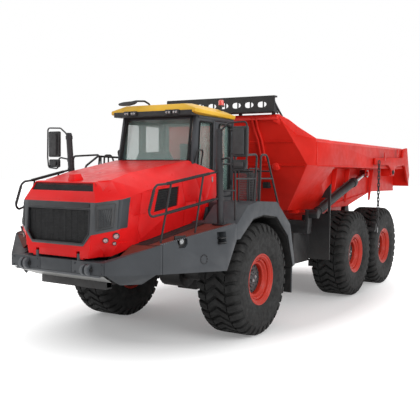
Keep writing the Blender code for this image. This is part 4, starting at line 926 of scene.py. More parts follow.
class TRUCK_OT_bumper(TruckOperator, bpy.types.Operator):
    """Bumper with its corner panels, seams, tow lugs and under-bar"""

    bl_idname = "truck.bumper"
    bl_label = "Bumper"

    def execute(self, context):
        seams = [part for side in (1, -1) for x, low, high, width, deep in BUMPER_SEAMS
                 for part in strips([(side * x, low), (side * x, high)], width, "y", -3.02, deep)]
        refined("bumper", 0.010, cutters=seams)
        lugs = []
        for x in (0.545, 0.63):
            eye = [(-0.026, 0.022), (-0.026, 0.072), (-0.020, 0.078), (0.020, 0.078), (0.026, 0.072), (0.026, 0.022)]
            lugs += [rounded(turned(eye, (x, -2.990, TOW_Z), sides=32), 0.003),
                     plate((x - 0.026, x + 0.026), (-2.99, -2.94), (1.28, 1.41), 0.004)]
        pair("tow_lugs", lugs, "front_chassis", "light_slate")
        pins = [rod((a, TOW_Y, TOW_Z), (b, TOW_Y, TOW_Z), radius, 16)
                for a, b, radius in ((0.50, 0.675, 0.021), (0.492, 0.502, 0.032), (0.672, 0.682, 0.032))]
        pair("tow_pins", pins, "front_chassis", "chassis_black")
        bar = together(box((-0.62, 0.62), (-2.62, -2.50), (1.035, 1.145)),
                       *both(box((0.40, 0.52), (-2.60, -2.48), (1.10, 1.30))))
        piece("under_bar", rounded(bar, 0.010), "front_chassis", "chassis_black")
        # Sloping plate under the bumper, painted pale grey as a painted reflection.
        belly = hull([(side * x, y, z + t) for side in (1, -1) for t in (0, 0.010)
                      for x, y, z in ((0.86, -2.955, 1.258), (0.72, -2.63, 1.128))])
        piece("belly_plate", rounded(belly, 0.003), "front_chassis", "pale_plate")
        lip = plate((-0.80, 0.80), (-2.972, -2.90), (1.245, 1.275), 0.004)
        piece("bumper_lip", lip, "front_chassis", "light_slate")
        places = [(side * x, BUMPER_FACE - 0.001, z) for side in (1, -1) for x in (0.36, 0.84) for z in (1.30, 1.42)]
        piece("bumper_bolts", bolts(places, (0, -1, 0), 0.011, "slate_grey"), "front_chassis", "slate_grey")
        return {"FINISHED"}


def box_face_x(y):
    """The side box's outer face at y, which runs outwards to the step and then straight back."""
    (x0, y0), (x1, y1) = BOX_FACE
    return min(x1, x0 + (x1 - x0) * (y - y0) / (y1 - y0))


def deck_top(y):
    """Height of the deck's outer edge at y."""
    (_, y0), z0 = DECK_EDGE[0]
    (_, y1), z1 = DECK_EDGE[1]
    return z0 + (z1 - z0) * (y - y0) / (y1 - y0)


class TRUCK_OT_side_boxes(TruckOperator, bpy.types.Operator):
    """Side boxes with their lamp, step, filler and the gritted deck on top"""

    bl_idname = "truck.side_boxes"
    bl_label = "Side boxes"

    def execute(self, context):
        (x0, y0), (x1, y1) = BOX_FACE
        face = Vector((x1 - x0, y1 - y0, 0)).normalized()
        out = Vector((face.y, -face.x, 0))
        lamp = Vector((box_face_x(LAMP_Y), LAMP_Y, LAMP_Z))
        filler = Vector((box_face_x(FILLER_Y), FILLER_Y, FILLER_Z))

        def pocket(top, depths):
            return hull([lamp + face * a + Vector((0, 0, b)) + out * c for c in depths
                         for a, b in (*LAMP_POCKET, (0.10, top), (-0.10, top))])

        for name, turn in sides():
            def part(label, mesh, look, **more):
                piece(f"{label}_{name}", turn(mesh), "front_chassis", look, **more)

            groove = turned([(-0.006, 0.072), (-0.006, 0.080), (0.05, 0.080), (0.05, 0.072)], filler, out, 32)
            cutters = [pocket(0.12, (-0.06, 0.08)), groove,
                       *strips([(-2.395, 1.20), (-2.395, 1.75)], 0.010, "x", 1.36, 1.60)]
            refined(f"side_box_{name}", 0.008, cutters=[turn(c) for c in cutters])
            lamp_seat = lamp - out * 0.030 + Vector((0, 0, 0.02))
            lens = [(0, 0), (0, 0.036), (0.010, 0.034), (0.018, 0.022), (0.020, 0)]
            shell = [(-0.055, 0), (-0.055, 0.030), (-0.02, 0.044), (0.004, 0.046), (0.004, 0.036), (-0.002, 0.034),
                     (-0.002, 0)]
            part("side_lamp", turned(lens, lamp_seat, out, 24), "lamp_glass")
            part("side_lamp_housing", turned(shell, lamp_seat, out, 24), "black_plastic")
            part("lamp_pocket", pocket(0.10, (-0.075, -0.055)), "chassis_black")
            mark = shifted(box((-0.004, 0.003), (-0.006, 0.006), (-0.012, 0.012)), (0, 0.062, 0))
            part("filler_marks", ring(mark, filler, 10, "chassis_black", direction=out), "chassis_black",
                 slot="slate_grey")
            self.deck(part)
            tread = plate((BOX_OUT - 0.145, BOX_OUT - 0.015), (-1.365, -1.195), (0, 0.014), 0.003)
            part("step_treads", shifted(row(tread, 2, (0, 0, 0.07), "chassis_black"), (0, 0, 1.635)), "chassis_black")
        return {"FINISHED"}

    def deck(self, part):
        """Gritted walkway, its toothed edge, a dark band painted on it as the hood's shadow, and a dark strip painted
        as the shadow in the gap under the hood.
        """
        (x0, y0), z0 = DECK_EDGE[0]
        (x1, y1), z1 = DECK_EDGE[1]
        inner = [(DECK_IN, y0, z0 - 0.05), (DECK_IN, y1, z1 - 0.05)]
        outer = [(x0 - 0.02, y0 + 0.01, z0), (x1 - 0.03, y1 - 0.02, z1)]
        part("deck", hull([(x, y, z - 0.004) for x, y, z in outer] + inner +
                          [(x, y, z + 0.004) for x, y, z in outer] + [(x, y, z + 0.010) for x, y, z in inner]),
             "deck_brown")
        step = Vector((x1 - x0, y1 - y0, z1 - z0)) / (TEETH + 1)
        tooth = hull([(-0.028, -0.014, 0), (0.004, -0.014, 0), (0.004, 0.010, 0), (-0.028, 0.010, 0),
                      (-0.022, -0.008, 0.016), (-0.002, -0.008, 0.016), (-0.002, 0.004, 0.016),
                      (-0.022, 0.004, 0.016)])
        first = Vector((x0 - 0.004, y0, z0 - 0.002)) + step
        part("deck_teeth", shifted(row(tooth, TEETH, step, "slate_grey"), first), "light_slate")
        # A dark band painted on the deck beside the hood as the hood's shadow.
        rise = 0.036 * (BAND_OUT - DECK_IN) / (x0 - DECK_IN)
        band = [(x, y, z - 0.036 + lift + thick) for y, z in ((y0 + 0.02, z0), (y1 - 0.02, z1))
                for x, lift in ((DECK_IN - 0.005, 0), (BAND_OUT, rise)) for thick in (0, 0.007)]
        part("deck_band", hull(band), "seal_rubber", slot="chassis_black")
        corner = hull([(0.93, -2.62, 1.50), (0.93, -2.44, 1.66), (1.36, -2.44, 1.66), (0.92, -2.80, 1.47),
                       (0.93, -2.62, 1.46), (0.93, -2.44, 1.60), (1.36, -2.44, 1.60), (0.92, -2.80, 1.44)])
        part("deck_corner", corner, "deck_brown")
        # A dark strip painted as the shadow in the gap between the hood's lower edge and the deck.
        shadow_gap = [(-2.30, 1.645), (-0.62, 1.865), (-0.62, 1.80), (-2.30, 1.58)]
        part("kick_strip", prism(shadow_gap, "x", 0.86, 0.935), "seal_rubber", slot="chassis_black")


# ---- Hood ------------------------------------------------------------------------------------------
NOSE_TOP_FACET = plane_y((-0.545, -2.82, 2.52), (0.545, -2.82, 2.52), (0.68, -2.916, 2.265))
CHEEK_FACET = plane_y((0.62, -2.95, 1.75), (0.93, -2.74, 1.80), (0.80, -2.70, 1.53))
# Seams on the hood's side as (y, z).
SIDE_SEAMS = [[(-2.196, 2.37), (-2.282, 1.865), (-2.219, 1.718)], [(-2.374, 2.053), (-2.101, 2.082)],
              [(-1.20, 2.53), (-1.10, 2.20), (-1.16, 1.80)], [(-0.80, 2.58), (-0.58, 2.24), (-0.64, 1.90)],
              [(-1.10, 2.20), (-0.80, 2.22), (-0.62, 2.05)], [(-2.08, 2.395), (-0.26, 2.655)]]
VENT_SIDE = [(-1.80, 2.415), (-1.27, 2.455), (-1.31, 2.16), (-1.91, 2.08)]
LOUVRES = 9


class TRUCK_OT_hood(TruckOperator, bpy.types.Operator):
    """Faceted hood with its seams, vents and latches"""

    bl_idname = "truck.hood"
    bl_label = "Hood"

    def execute(self, context):
        cuts = both(*[part for seam in SIDE_SEAMS for part in strips(seam, 0.009, "x", 0.884, 1.0)],
                    prism(VENT_SIDE, "x", 0.872, 1.0))
        cuts.append(prism([(-0.592, 2.395), (0.592, 2.395), (0.552, 2.505), (-0.552, 2.505)], "y", -3.0, -2.80))
        out = Vector((0.60, -0.36, 0.71)).normalized()
        corners = [(Vector(p), deep) for p, deep in (((0.49, -2.70, 2.535), 0.003), ((0.625, -2.50, 2.545), 0.006),
                                                     ((0.685, -2.775, 2.405), 0.030))]
        cuts += both(hull([p + out * 0.08 for p, _ in corners] + [p - out * deep for p, deep in corners]))
        for side in (1, -1):
            cuts += strips([(side * 0.62, 1.48), (side * 0.62, 1.63)], 0.008, "y", -3.0, -2.93)
        cuts += strips([(-2.80, -0.50), (-2.80, 0.50)], 0.010, "z", 2.512, 2.60)
        refined("hood_shell", 0.012, 3, cutters=cuts)
        self.vents()
        self.trims()
        return {"FINISHED"}

    def vents(self):
        """Black mesh in the nose vent and louvres in the side vents."""
        nose = [NOSE_TOP_FACET(x, z, -0.022) for x, z in ((-0.60, 2.39), (0.60, 2.39), (0.56, 2.512), (-0.56, 2.512))]
        backing = slab([p - NOSE_TOP_FACET.facing * 0.012 for p in nose], 0.004)
        piece("nose_vent_back", outward(backing), "hood", "black_mesh")
        piece("nose_vent_mesh", mesh_screen(nose, "black_mesh", 0.022, 0.0035), "hood", "black_mesh")
        vents = [prism(VENT_SIDE, "x", 0.874, 0.877)]
        (y0, z0), (y1, z1), (y2, z2), (y3, z3) = VENT_SIDE
        for k in range(LOUVRES):
            t = (k + 0.5) / LOUVRES
            ends = ((y3 + (y0 - y3) * t, z3 + (z0 - z3) * t), (y2 + (y1 - y2) * t, z2 + (z1 - z2) * t))
            vents.append(hull([(x, y, z + lift) for y, z in ends for x, lift in
                               ((0.879, -0.010), (0.897, 0.006), (0.897, 0.009), (0.879, -0.004))]))
        pair("side_vents", vents, "hood", "black_mesh")

    def trims(self):
        """Rear side panel, latches, the block on the top and the rubber on the rear edge."""
        rear = [(-0.30, 2.675), (-0.155, 2.683), (-0.125, 2.13), (-0.50, 2.105), (-0.47, 2.20)]
        pair("hood_rear_panels", [rounded(prism(rear, "x", 0.862, 0.8995), 0.006)], "hood", "hood_red")
        lower = ((0.66, 1.495), (0.66, 1.66), (0.84, 1.70), (0.905, 1.70))
        face = [tuple(CHEEK_FACET(x, z, -0.003)) for x, z in lower]
        face += [(0.800, -2.735, 1.515), (0.903, -2.45, 1.70), (0.903, -2.25, 1.672), (0.893, -2.47, 1.600)]
        pair("hood_skirts", [hull(face + [(x - 0.06, y + 0.04, z) for x, y, z in face])], "hood", "hood_red")
        latch = prism([(-0.345, 2.60), (-0.315, 2.60), (-0.305, 2.51), (-0.335, 2.51)], "x", 0.898, 0.912)
        pair("hood_latches", [rounded(latch, 0.003), rod((0.897, -0.327, 2.585), (0.918, -0.327, 2.585), 0.009, 12)],
             "hood", "bolt_steel", slot="black_plastic")
        wedge = hull([(0.0, -2.74, 2.525), (0.13, -2.74, 2.525), (0.14, -2.56, 2.545), (-0.01, -2.56, 2.545),
                      (0.012, -2.725, 2.625), (0.115, -2.725, 2.625), (0.12, -2.60, 2.635), (0.006, -2.60, 2.635)])
        piece("hood_block", rounded(wedge, 0.008), "hood", "hood_red")
        lip = [(-0.60, 2.845), (0.60, 2.845), (0.60, 2.868), (-0.60, 2.868)]
        piece("hood_rear_seal", rounded(prism(lip, "y", -0.815, -0.785), 0.008), "hood", "seal_rubber")


# The mask's outer edge seen from the side as (y, z), front to rear, and the shape of its cheeks and brow.
MASK_SIDE = [(-3.10, 1.648), (-3.10, 2.245), (-2.916, 2.247), (-2.68, 2.283), (-2.46, 2.320), (-2.545, 1.905),
             (-2.69, 1.899), (-2.81, 1.860), (-2.946, 1.809), (-2.952, 1.648)]
CHEEK_SIDE = [(-2.668, 2.280), (-2.463, 2.318), (-2.545, 1.905), (-2.742, 1.898)]
BROW_SIDE = [(-3.1, 2.172), (-3.1, 2.240), (-2.85, 2.240), (-2.85, 2.172)]
GRILLE = [(-0.585, 2.150), (0.585, 2.150), (0.585, 1.820), (0.475, 1.682), (-0.475, 1.682), (-0.585, 1.820)]
GRILLE_Y = -2.912
WINDOW = [(0.712, 2.146), (0.838, 2.176), (0.862, 1.944), (0.708, 1.892)]
WINDOW_RIM = [(0.690, 2.206), (0.856, 2.240), (0.886, 1.918), (0.690, 1.862)]


class TRUCK_OT_mask(TruckOperator, bpy.types.Operator):
    """Grille mask wrapped round the nose, its meshes and the headlamps"""

    bl_idname = "truck.mask"
    bl_label = "Grille and headlamps"

    def execute(self, context):
        skin = cut(nose_shape(0.007), nose_shape(-0.03))
        corners = both(prism([(0.488, 1.55), (0.488, 1.648), (0.627, 1.809), (0.80, 1.809), (1.1, 1.55)], "y",
                             -3.1, -2.90))
        mask = cut(common(skin, prism(MASK_SIDE, "x", -1.1, 1.1)), *corners, prism(GRILLE, "y", -3.1, -2.80),
                   *both(prism(WINDOW, "y", -3.1, -2.60)))
        piece("mask", rounded(mask, 0.008, 2, 24), "hood", "mask_grey", ["grille"])
        for name, outline, half, lift, look in (("mask_cheeks", CHEEK_SIDE, 1.1, 0.016, "slate_grey"),
                                                ("mask_brow", BROW_SIDE, 0.585, 0.018, "post_grey")):
            strip = cut(common(nose_shape(lift), prism(outline, "x", -half, half)), nose_shape(-0.01))
            piece(name, rounded(strip, 0.006), "hood", look, slot="slate_grey")
        filler = [(-0.61, 1.60), (0.61, 1.60), (0.61, 1.815), (0.488, 1.656), (-0.488, 1.656), (-0.61, 1.815)]
        piece("mask_filler", prism(filler, "y", -2.949, -2.93), "hood", "hood_red")
        self.grilles()
        self.lamps()
        return {"FINISHED"}

    def grilles(self):
        """Vertical bars over a dark mesh in the middle, framed meshes in the cheeks."""
        y = GRILLE_Y
        piece("grille_back", box((-0.60, 0.60), (y + 0.014, y + 0.018), (1.66, 2.17)), "hood", "black_mesh")
        screen = mesh_screen([(-0.59, y, 1.67), (0.59, y, 1.67), (0.59, y, 2.16), (-0.59, y, 2.16)], "black_mesh",
                             0.022, 0.0035)
        piece("grille_mesh", screen, "hood", "black_mesh")
        bar = plate((-0.002, 0.002), (-2.918, -2.912), (1.685, 2.15), 0.0008)
        piece("grille_bars", shifted(row(bar, 9, (0.117, 0, 0), "black_mesh"), (-0.468, 0, 0)), "hood", "black_mesh",
              slot="slate_grey")
        front = plane_y((0.62, -2.950, 1.75), (0.68, -2.916, 2.265), (-0.62, -2.950, 1.75))
        piece("grille_frame", tube([front(x, z, 0.008) for x, z in GRILLE], 0.010, "black_plastic", 0.02, 10, True),
              "hood", "post_grey", slot="slate_grey")
        screen = mesh_screen([(x, -3, z) for x, z in WINDOW], "black_mesh", 0.018, 0.0030)
        pair("cheek_meshes", [draped(screen, "hood_shell", -3, 0.009)], "hood", "mask_grey")
        back = draped(prism(WINDOW, "y", -3.001, -3), "hood_shell", -3, 0.004)
        pair("cheek_backs", [outward(back)], "hood", "black_mesh")
        frames = [draped(tube([(x, -3, z) for x, z in path], width, "black_plastic", 0.012, 8, True), "hood_shell",
                         -3, lift) for path, width, lift in ((WINDOW, 0.008, 0.012), (WINDOW_RIM, 0.006, 0.014))]
        pair("cheek_frames", frames, "hood", "black_plastic", slot="slate_grey")

    def lamps(self):
        """Round lamps: a dark bezel, a bright bowl and a domed lens."""
        # Each outline is (along, share of the lamp's radius).
        parts = {"bezels": [(-0.01, 0.86), (0.012, 0.86), (0.014, 0.98), (0.006, 1.10), (-0.01, 1.12)],
                 "bowls": [(-0.020, 0), (-0.020, 0.30), (-0.012, 0.62), (0.004, 0.86), (-0.008, 0.88), (-0.024, 0.66),
                           (-0.026, 0)],
                 "lenses": [(0.004, 0), (0.004, 0.85), (0.010, 0.84), (0.020, 0.62), (0.027, 0.30), (0.029, 0)]}
        looks = {"bezels": ("black_plastic", "slate_grey"), "bowls": ("mirror_glass", "slate_grey"),
                 "lenses": ("lamp_glass", None)}
        for name, outline in parts.items():
            shapes = [turned([(along, radius * share) for along, share in outline], CHEEK_FACET(x, z),
                             CHEEK_FACET.facing, 32)
                      for x, z, radius in ((0.778, 1.740, 0.037), (0.908, 1.800, 0.042), (0.862, 1.698, 0.026))]
            look, slot = looks[name]
            pair(f"headlamp_{name}", shapes, "hood", look, slot=slot)


def nose_shape(lift):
    """The hood's outside as one closed solid, with every face moved outwards by lift."""
    halves = [[(0.57, -2.944, 1.485), (0.62, -2.950, 1.75), (0.68, -2.916, 2.265), (0.545, -2.82, 2.52)],
              [(0.80, -2.70, 1.53), (0.93, -2.74, 1.80), (0.90, -2.62, 2.29), (0.60, -2.52, 2.55)],
              [(0.90, -2.28, 1.67), (0.90, -2.28, 1.92), (0.90, -2.09, 2.40), (0.60, -2.09, 2.655)]]
    shape = bmesh.new()
    rows = banded(shape, [half + [(-x, y, z) for x, y, z in reversed(half)] for half in halves])
    for end in (rows[0], rows[-1]):
        for k in range(len(end) // 2 - 1):
            shape.faces.new((end[k], end[k + 1], end[-2 - k], end[-1 - k]))
    bmesh.ops.triangulate(shape, faces=[f for f in shape.faces if len(f.verts) == 4 and f.calc_area() > 0])
    return swollen(to_mesh(shape), lift)


# ---- Cab -------------------------------------------------------------------------------------------
CAB_HALF = 0.77
ROOF_LAMPS_X = (-0.50, -0.36, 0.36, 0.50)
BEACON_Z = 3.83


class TRUCK_OT_cab(TruckOperator, bpy.types.Operator):
    """Cab shell, door, roof, seals, lamps, handles, dash and roof fittings"""

    bl_idname = "truck.cab"
    bl_label = "Cab"

    def execute(self, context):
        refined("cab_shell", 0.012, 3, look="cab_grey")
        refined("cab_door", 0.008, look="cab_grey")
        refined("cab_roof", 0.010)
        keep("windscreen", "rear_pane", "left_pane", "right_pane", "door_pane")
        self.seals()
        self.front()
        self.side()
        self.roof()
        self.inside()
        seat()
        return {"FINISHED"}

    def seals(self):
        """Rubber round each pane, as a tube along its edge."""
        def seal(path, radius, bend, count=8):
            return tube(path, radius, "seal_rubber", bend, count, True)

        screen = [(0.70, -0.742, 2.84), (0.66, -0.590, 3.585), (-0.66, -0.590, 3.585), (-0.70, -0.742, 2.84)]
        piece("windscreen_seal", seal(screen, 0.022, 0.05, 10), "front_chassis", "seal_rubber")
        x = CAB_HALF + 0.004
        front = ((-0.565, 2.74), (-0.12, 2.70), (-0.12, 3.50), (-0.515, 3.50))
        back = ((0.0, 2.55), (0.48, 2.55), (0.48, 3.50), (0.0, 3.50))
        paths = [[(at, y, z) for y, z in path] for at, path in ((x, front), (-x, front), (-x, back))]
        piece("side_seals", [seal(path, 0.014, 0.04) for path in paths], "front_chassis", "seal_rubber")
        door = [(CAB_HALF + 0.006, y, z) for y, z in ((0.09, 2.36), (0.46, 2.36), (0.46, 3.49), (0.09, 3.49))]
        piece("door_seal", seal(door, 0.014, 0.05), "cab_door", "seal_rubber")

    def front(self):
        """Pillars' edges and the lamp box under the roof's lip."""
        pillar = hull([(0.735, -0.735, 2.83), (0.770, -0.735, 2.83), (0.770, -0.700, 2.83), (0.700, -0.598, 3.60),
                       (0.762, -0.598, 3.60), (0.762, -0.555, 3.60)])
        pair("front_pillars", [rounded(pillar, 0.008)], "front_chassis", "cab_grey")
        piece("lamp_box", plate((-0.80, 0.80), (-0.802, -0.60), (3.583, 3.666), 0.008), "front_chassis", "black_mesh")
        shells = [plate((x - 0.062, x + 0.062), (-0.835, -0.78), (3.595, 3.675), 0.008) for x in ROOF_LAMPS_X]
        lamps = [turned([(0, 0), (0, 0.019), (0.005, 0.017), (0.008, 0)], (x + a, -0.836, 3.635), (0, -1, 0), 20)
                 for x in ROOF_LAMPS_X for a in (-0.025, 0.025)]
        piece("roof_lamp_shells", shells, "front_chassis", "black_mesh")
        piece("roof_lamps", lamps, "front_chassis", "lamp_glass")

    def side(self):
        """Drip rails, pillar ribs, grab hoops, door handle and hinge pins."""
        low = CAB_HALF - 0.006
        drip = [plate((low, CAB_HALF + 0.018), (-0.56, 0.57), (3.555, 3.585), 0.005),
                plate((low, CAB_HALF + 0.014), (-0.66, 0.0), (2.62, 2.645), 0.004)]
        pair("drip_rails", drip, "front_chassis", "cab_grey")
        ribs = [plate((CAB_HALF - 0.004, CAB_HALF + 0.012), y, (2.02, 3.54), 0.004)
                for y in ((-0.105, -0.055), (0.545, 0.575))]
        pair("cab_pillars", ribs, "front_chassis", "cab_grey")
        hoops = [[(0.775, -0.66, 2.83), (0.83, -0.66, 3.03), (0.83, -0.50, 3.03), (0.775, -0.47, 2.78)],
                 [(0.775, 0.02, 2.55), (0.835, 0.02, 2.62), (0.835, 0.02, 3.25), (0.775, 0.02, 3.32)]]
        pair("grab_hoops", [tube(h, 0.013, "chassis_black", 0.05, 10) for h in hoops], "front_chassis",
             "chassis_black")
        handle = [(0.80, 0.12, 2.32), (0.828, 0.12, 2.34), (0.828, 0.12, 2.44), (0.80, 0.12, 2.46)]
        piece("door_handle", [tube(handle, 0.008, "black_plastic", 0.015, 8),
                              plate((0.812, 0.822), (0.09, 0.15), (2.29, 2.35), 0.004)], "cab_door", "black_plastic")
        hinges = [rod((0.79, 0.514, z), (0.79, 0.514, z + 0.07), 0.012, 12) for z in (2.44, 3.38)]
        piece("door_hinge_pins", hinges, "cab_door", "black_plastic")

    def roof(self):
        """Beacon on its stem, and the roof mirror on its curved arm."""
        low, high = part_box("beacon")
        x, y = (low[0] + high[0]) / 2, (low[1] + high[1]) / 2 - AXLE_Y
        dome = [(0, 0), (0, 0.054), (0.010, 0.055), (0.012, 0.050), (0.060, 0.049), (0.082, 0.044), (0.095, 0.030),
                (0.099, 0)]
        piece("beacon_dome", turned(dome, (x, y, BEACON_Z), (0, 0, 1), 32), "beacon", "beacon_orange", ["beacon"])
        stem = [rod((x, y, 3.68), (x, y, 3.81), 0.018, 16), rod((x, y, 3.805), (x, y, 3.832), 0.058, 24),
                rod((x, y, 3.68), (x, y, 3.715), 0.035, 16)]
        bulb = [(0.002, 0), (0.002, 0.02), (0.085, 0.02), (0.085, 0)]
        piece("beacon_stem", [*stem, turned(bulb, (x, y, BEACON_Z), (0, 0, 1), 16)], "beacon", "black_plastic")
        arm = [(-0.24, -0.50, 3.70), (-0.245, -0.53, 3.815), (-0.28, -0.62, 3.858), (-0.36, -0.75, 3.85),
               (-0.44, -0.815, 3.825)]
        piece("roof_mirror_arm", [tube(arm, 0.016), plate((-0.29, -0.19), (-0.55, -0.45), (3.735, 3.765), 0.006)],
              "roof_mirror", "chassis_black", ["roof_mirror"])
        outline = [(-0.68, 3.800, 0.008), (-0.66, 3.800, 0.022), (-0.58, 3.803, 0.034), (-0.44, 3.806, 0.038),
                   (-0.34, 3.812, 0.026), (-0.285, 3.820, 0.010)]
        section = ((-1, 0), (-0.7, 0.8), (0, 1), (0.55, 0.8), (0.55, -0.8), (0, -1), (-0.7, -0.8))
        head = [hull([(x, -0.82 + y * r, z + h * r) for x, z, r in ends for y, h in section])
                for ends in zip(outline, outline[1:])]
        piece("roof_mirror_head", head, "roof_mirror", "black_plastic")
        ends = ((-0.62, 3.801, 0.020), (-0.38, 3.808, 0.022))
        glass = hull([(x, -0.8005 + y, z + way * half) for x, z, half in ends for y in (0, 0.003) for way in (-1, 1)])
        piece("roof_mirror_glass", rounded(glass, 0.001), "roof_mirror", "mirror_glass")

    def inside(self):
        """Dash with its display and the hump over it."""
        refined("console", 0.008)
        piece("displays", [plate((0.20, 0.44), (-0.452, -0.43), (2.60, 2.78), 0.006),
                           plate((-0.16, 0.16), (-0.50, -0.44), (2.75, 2.84), 0.02, 3)], "front_chassis",
              "black_plastic")
        hump = hull([(-0.52, -0.56, 2.80), (0.24, -0.56, 2.80), (-0.52, -0.40, 2.80), (0.24, -0.40, 2.80),
                     (-0.46, -0.545, 2.99), (0.14, -0.545, 3.01), (-0.44, -0.44, 3.00), (0.12, -0.44, 3.02),
                     (0.22, -0.55, 2.90), (-0.50, -0.55, 2.92)])
        piece("dash_hump", rounded(hump, 0.018, 3), "front_chassis", "grey_plastic")


def seat():
    """Driver's seat: padded cushion and back on a suspension base."""
    low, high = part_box("driver_seat")
    y0, y1, z0, z1 = low[1] - AXLE_Y, high[1] - AXLE_Y, low[2], high[2]
    half = (high[0] - low[0]) / 2 - 0.01
    cushion = piece("seat_cushion", pad((-half, half), (y0 + 0.01, y1 - 0.10), (z0 + 0.30, z0 + 0.44)),
                    "driver_seat", "seat_fabric", ["driver_seat"])
    back = piece("seat_back", pad((-half + 0.02, half - 0.02), (y1 - 0.15, y1 - 0.02), (z0 + 0.42, z1 - 0.02)),
                 "driver_seat", "seat_fabric")
    base = [plate((-half + 0.06, half - 0.06), (y0 + 0.08, y1 - 0.14), (z0, z0 + 0.10), 0.01),
            plate((-half + 0.03, half - 0.03), (y0 + 0.04, y1 - 0.10), (z0 + 0.26, z0 + 0.305), 0.012)]
    bellows = [(z0 + 0.08 + 0.02 * k, 0.02 * (k % 2)) for k in range(10)]
    for folds in zip(bellows, bellows[1:]):
        base.append(hull([(side * (half - 0.08 - t), y, z) for side in (1, -1) for z, t in folds
                          for y in (y0 + 0.10 + t, y1 - 0.16 - t)]))
    piece("seat_base", base, "driver_seat", "black_plastic")


def pad(x, y, z, voxel=0.006):
    """A stuffed cushion between two values along each axis: inflated cloth."""
    inset = 0.012
    core = plate(*[(low + inset, high - inset) for low, high in (x, y, z)], 0.03, 4)
    mesh = modified(core, "REMESH", mode="VOXEL", voxel_size=voxel)
    mesh = inflated(mesh, 0.024)
    return modified(mesh, "SUBSURF", levels=1, render_levels=1)


def inflated(mesh, cap):
    """The cloth of a closed shape blown up a little, no point moving further than cap."""
    scene = bpy.context.scene
    start = [v.co.copy() for v in mesh.vertices]
    thing = placed("cloth", mesh)
    cloth = thing.modifiers.new("cloth", "CLOTH")
    cloth.settings.use_pressure = True
    cloth.settings.uniform_pressure_force = 4
    cloth.settings.effector_weights.gravity = 0
    cloth.point_cache.frame_start, cloth.point_cache.frame_end = 1, 20
    for moment in range(1, 21):
        scene.frame_set(moment)
    out = taken(thing)
    scene.frame_set(1)
    for vert, rest in zip(out.vertices, start):
        move = vert.co - rest
        if move.length > cap:
            vert.co = rest + move * (cap / move.length)
    return out


# ---- Rails and mirrors -----------------------------------------------------------------------------
POST_FOOT, POST_HEAD = (1.50, -1.03, 1.888), (1.52, -1.14, 3.30)
MIRROR_X, MIRROR_Y = 1.88, -1.16
RAIL_X, FAR_RAIL_X = 1.29, -1.30         # the rail beside the hood, and the low one on the right
LOOP_X = 1.66                            # loops over the fender
SCREEN_X = 1.42                          # screens between the cab and the fender


def post_at(z):
    """The mirror post's axis at height z."""
    foot = Vector(POST_FOOT)
    return foot + (Vector(POST_HEAD) - foot) * (z - foot.z) / (POST_HEAD[2] - foot.z)


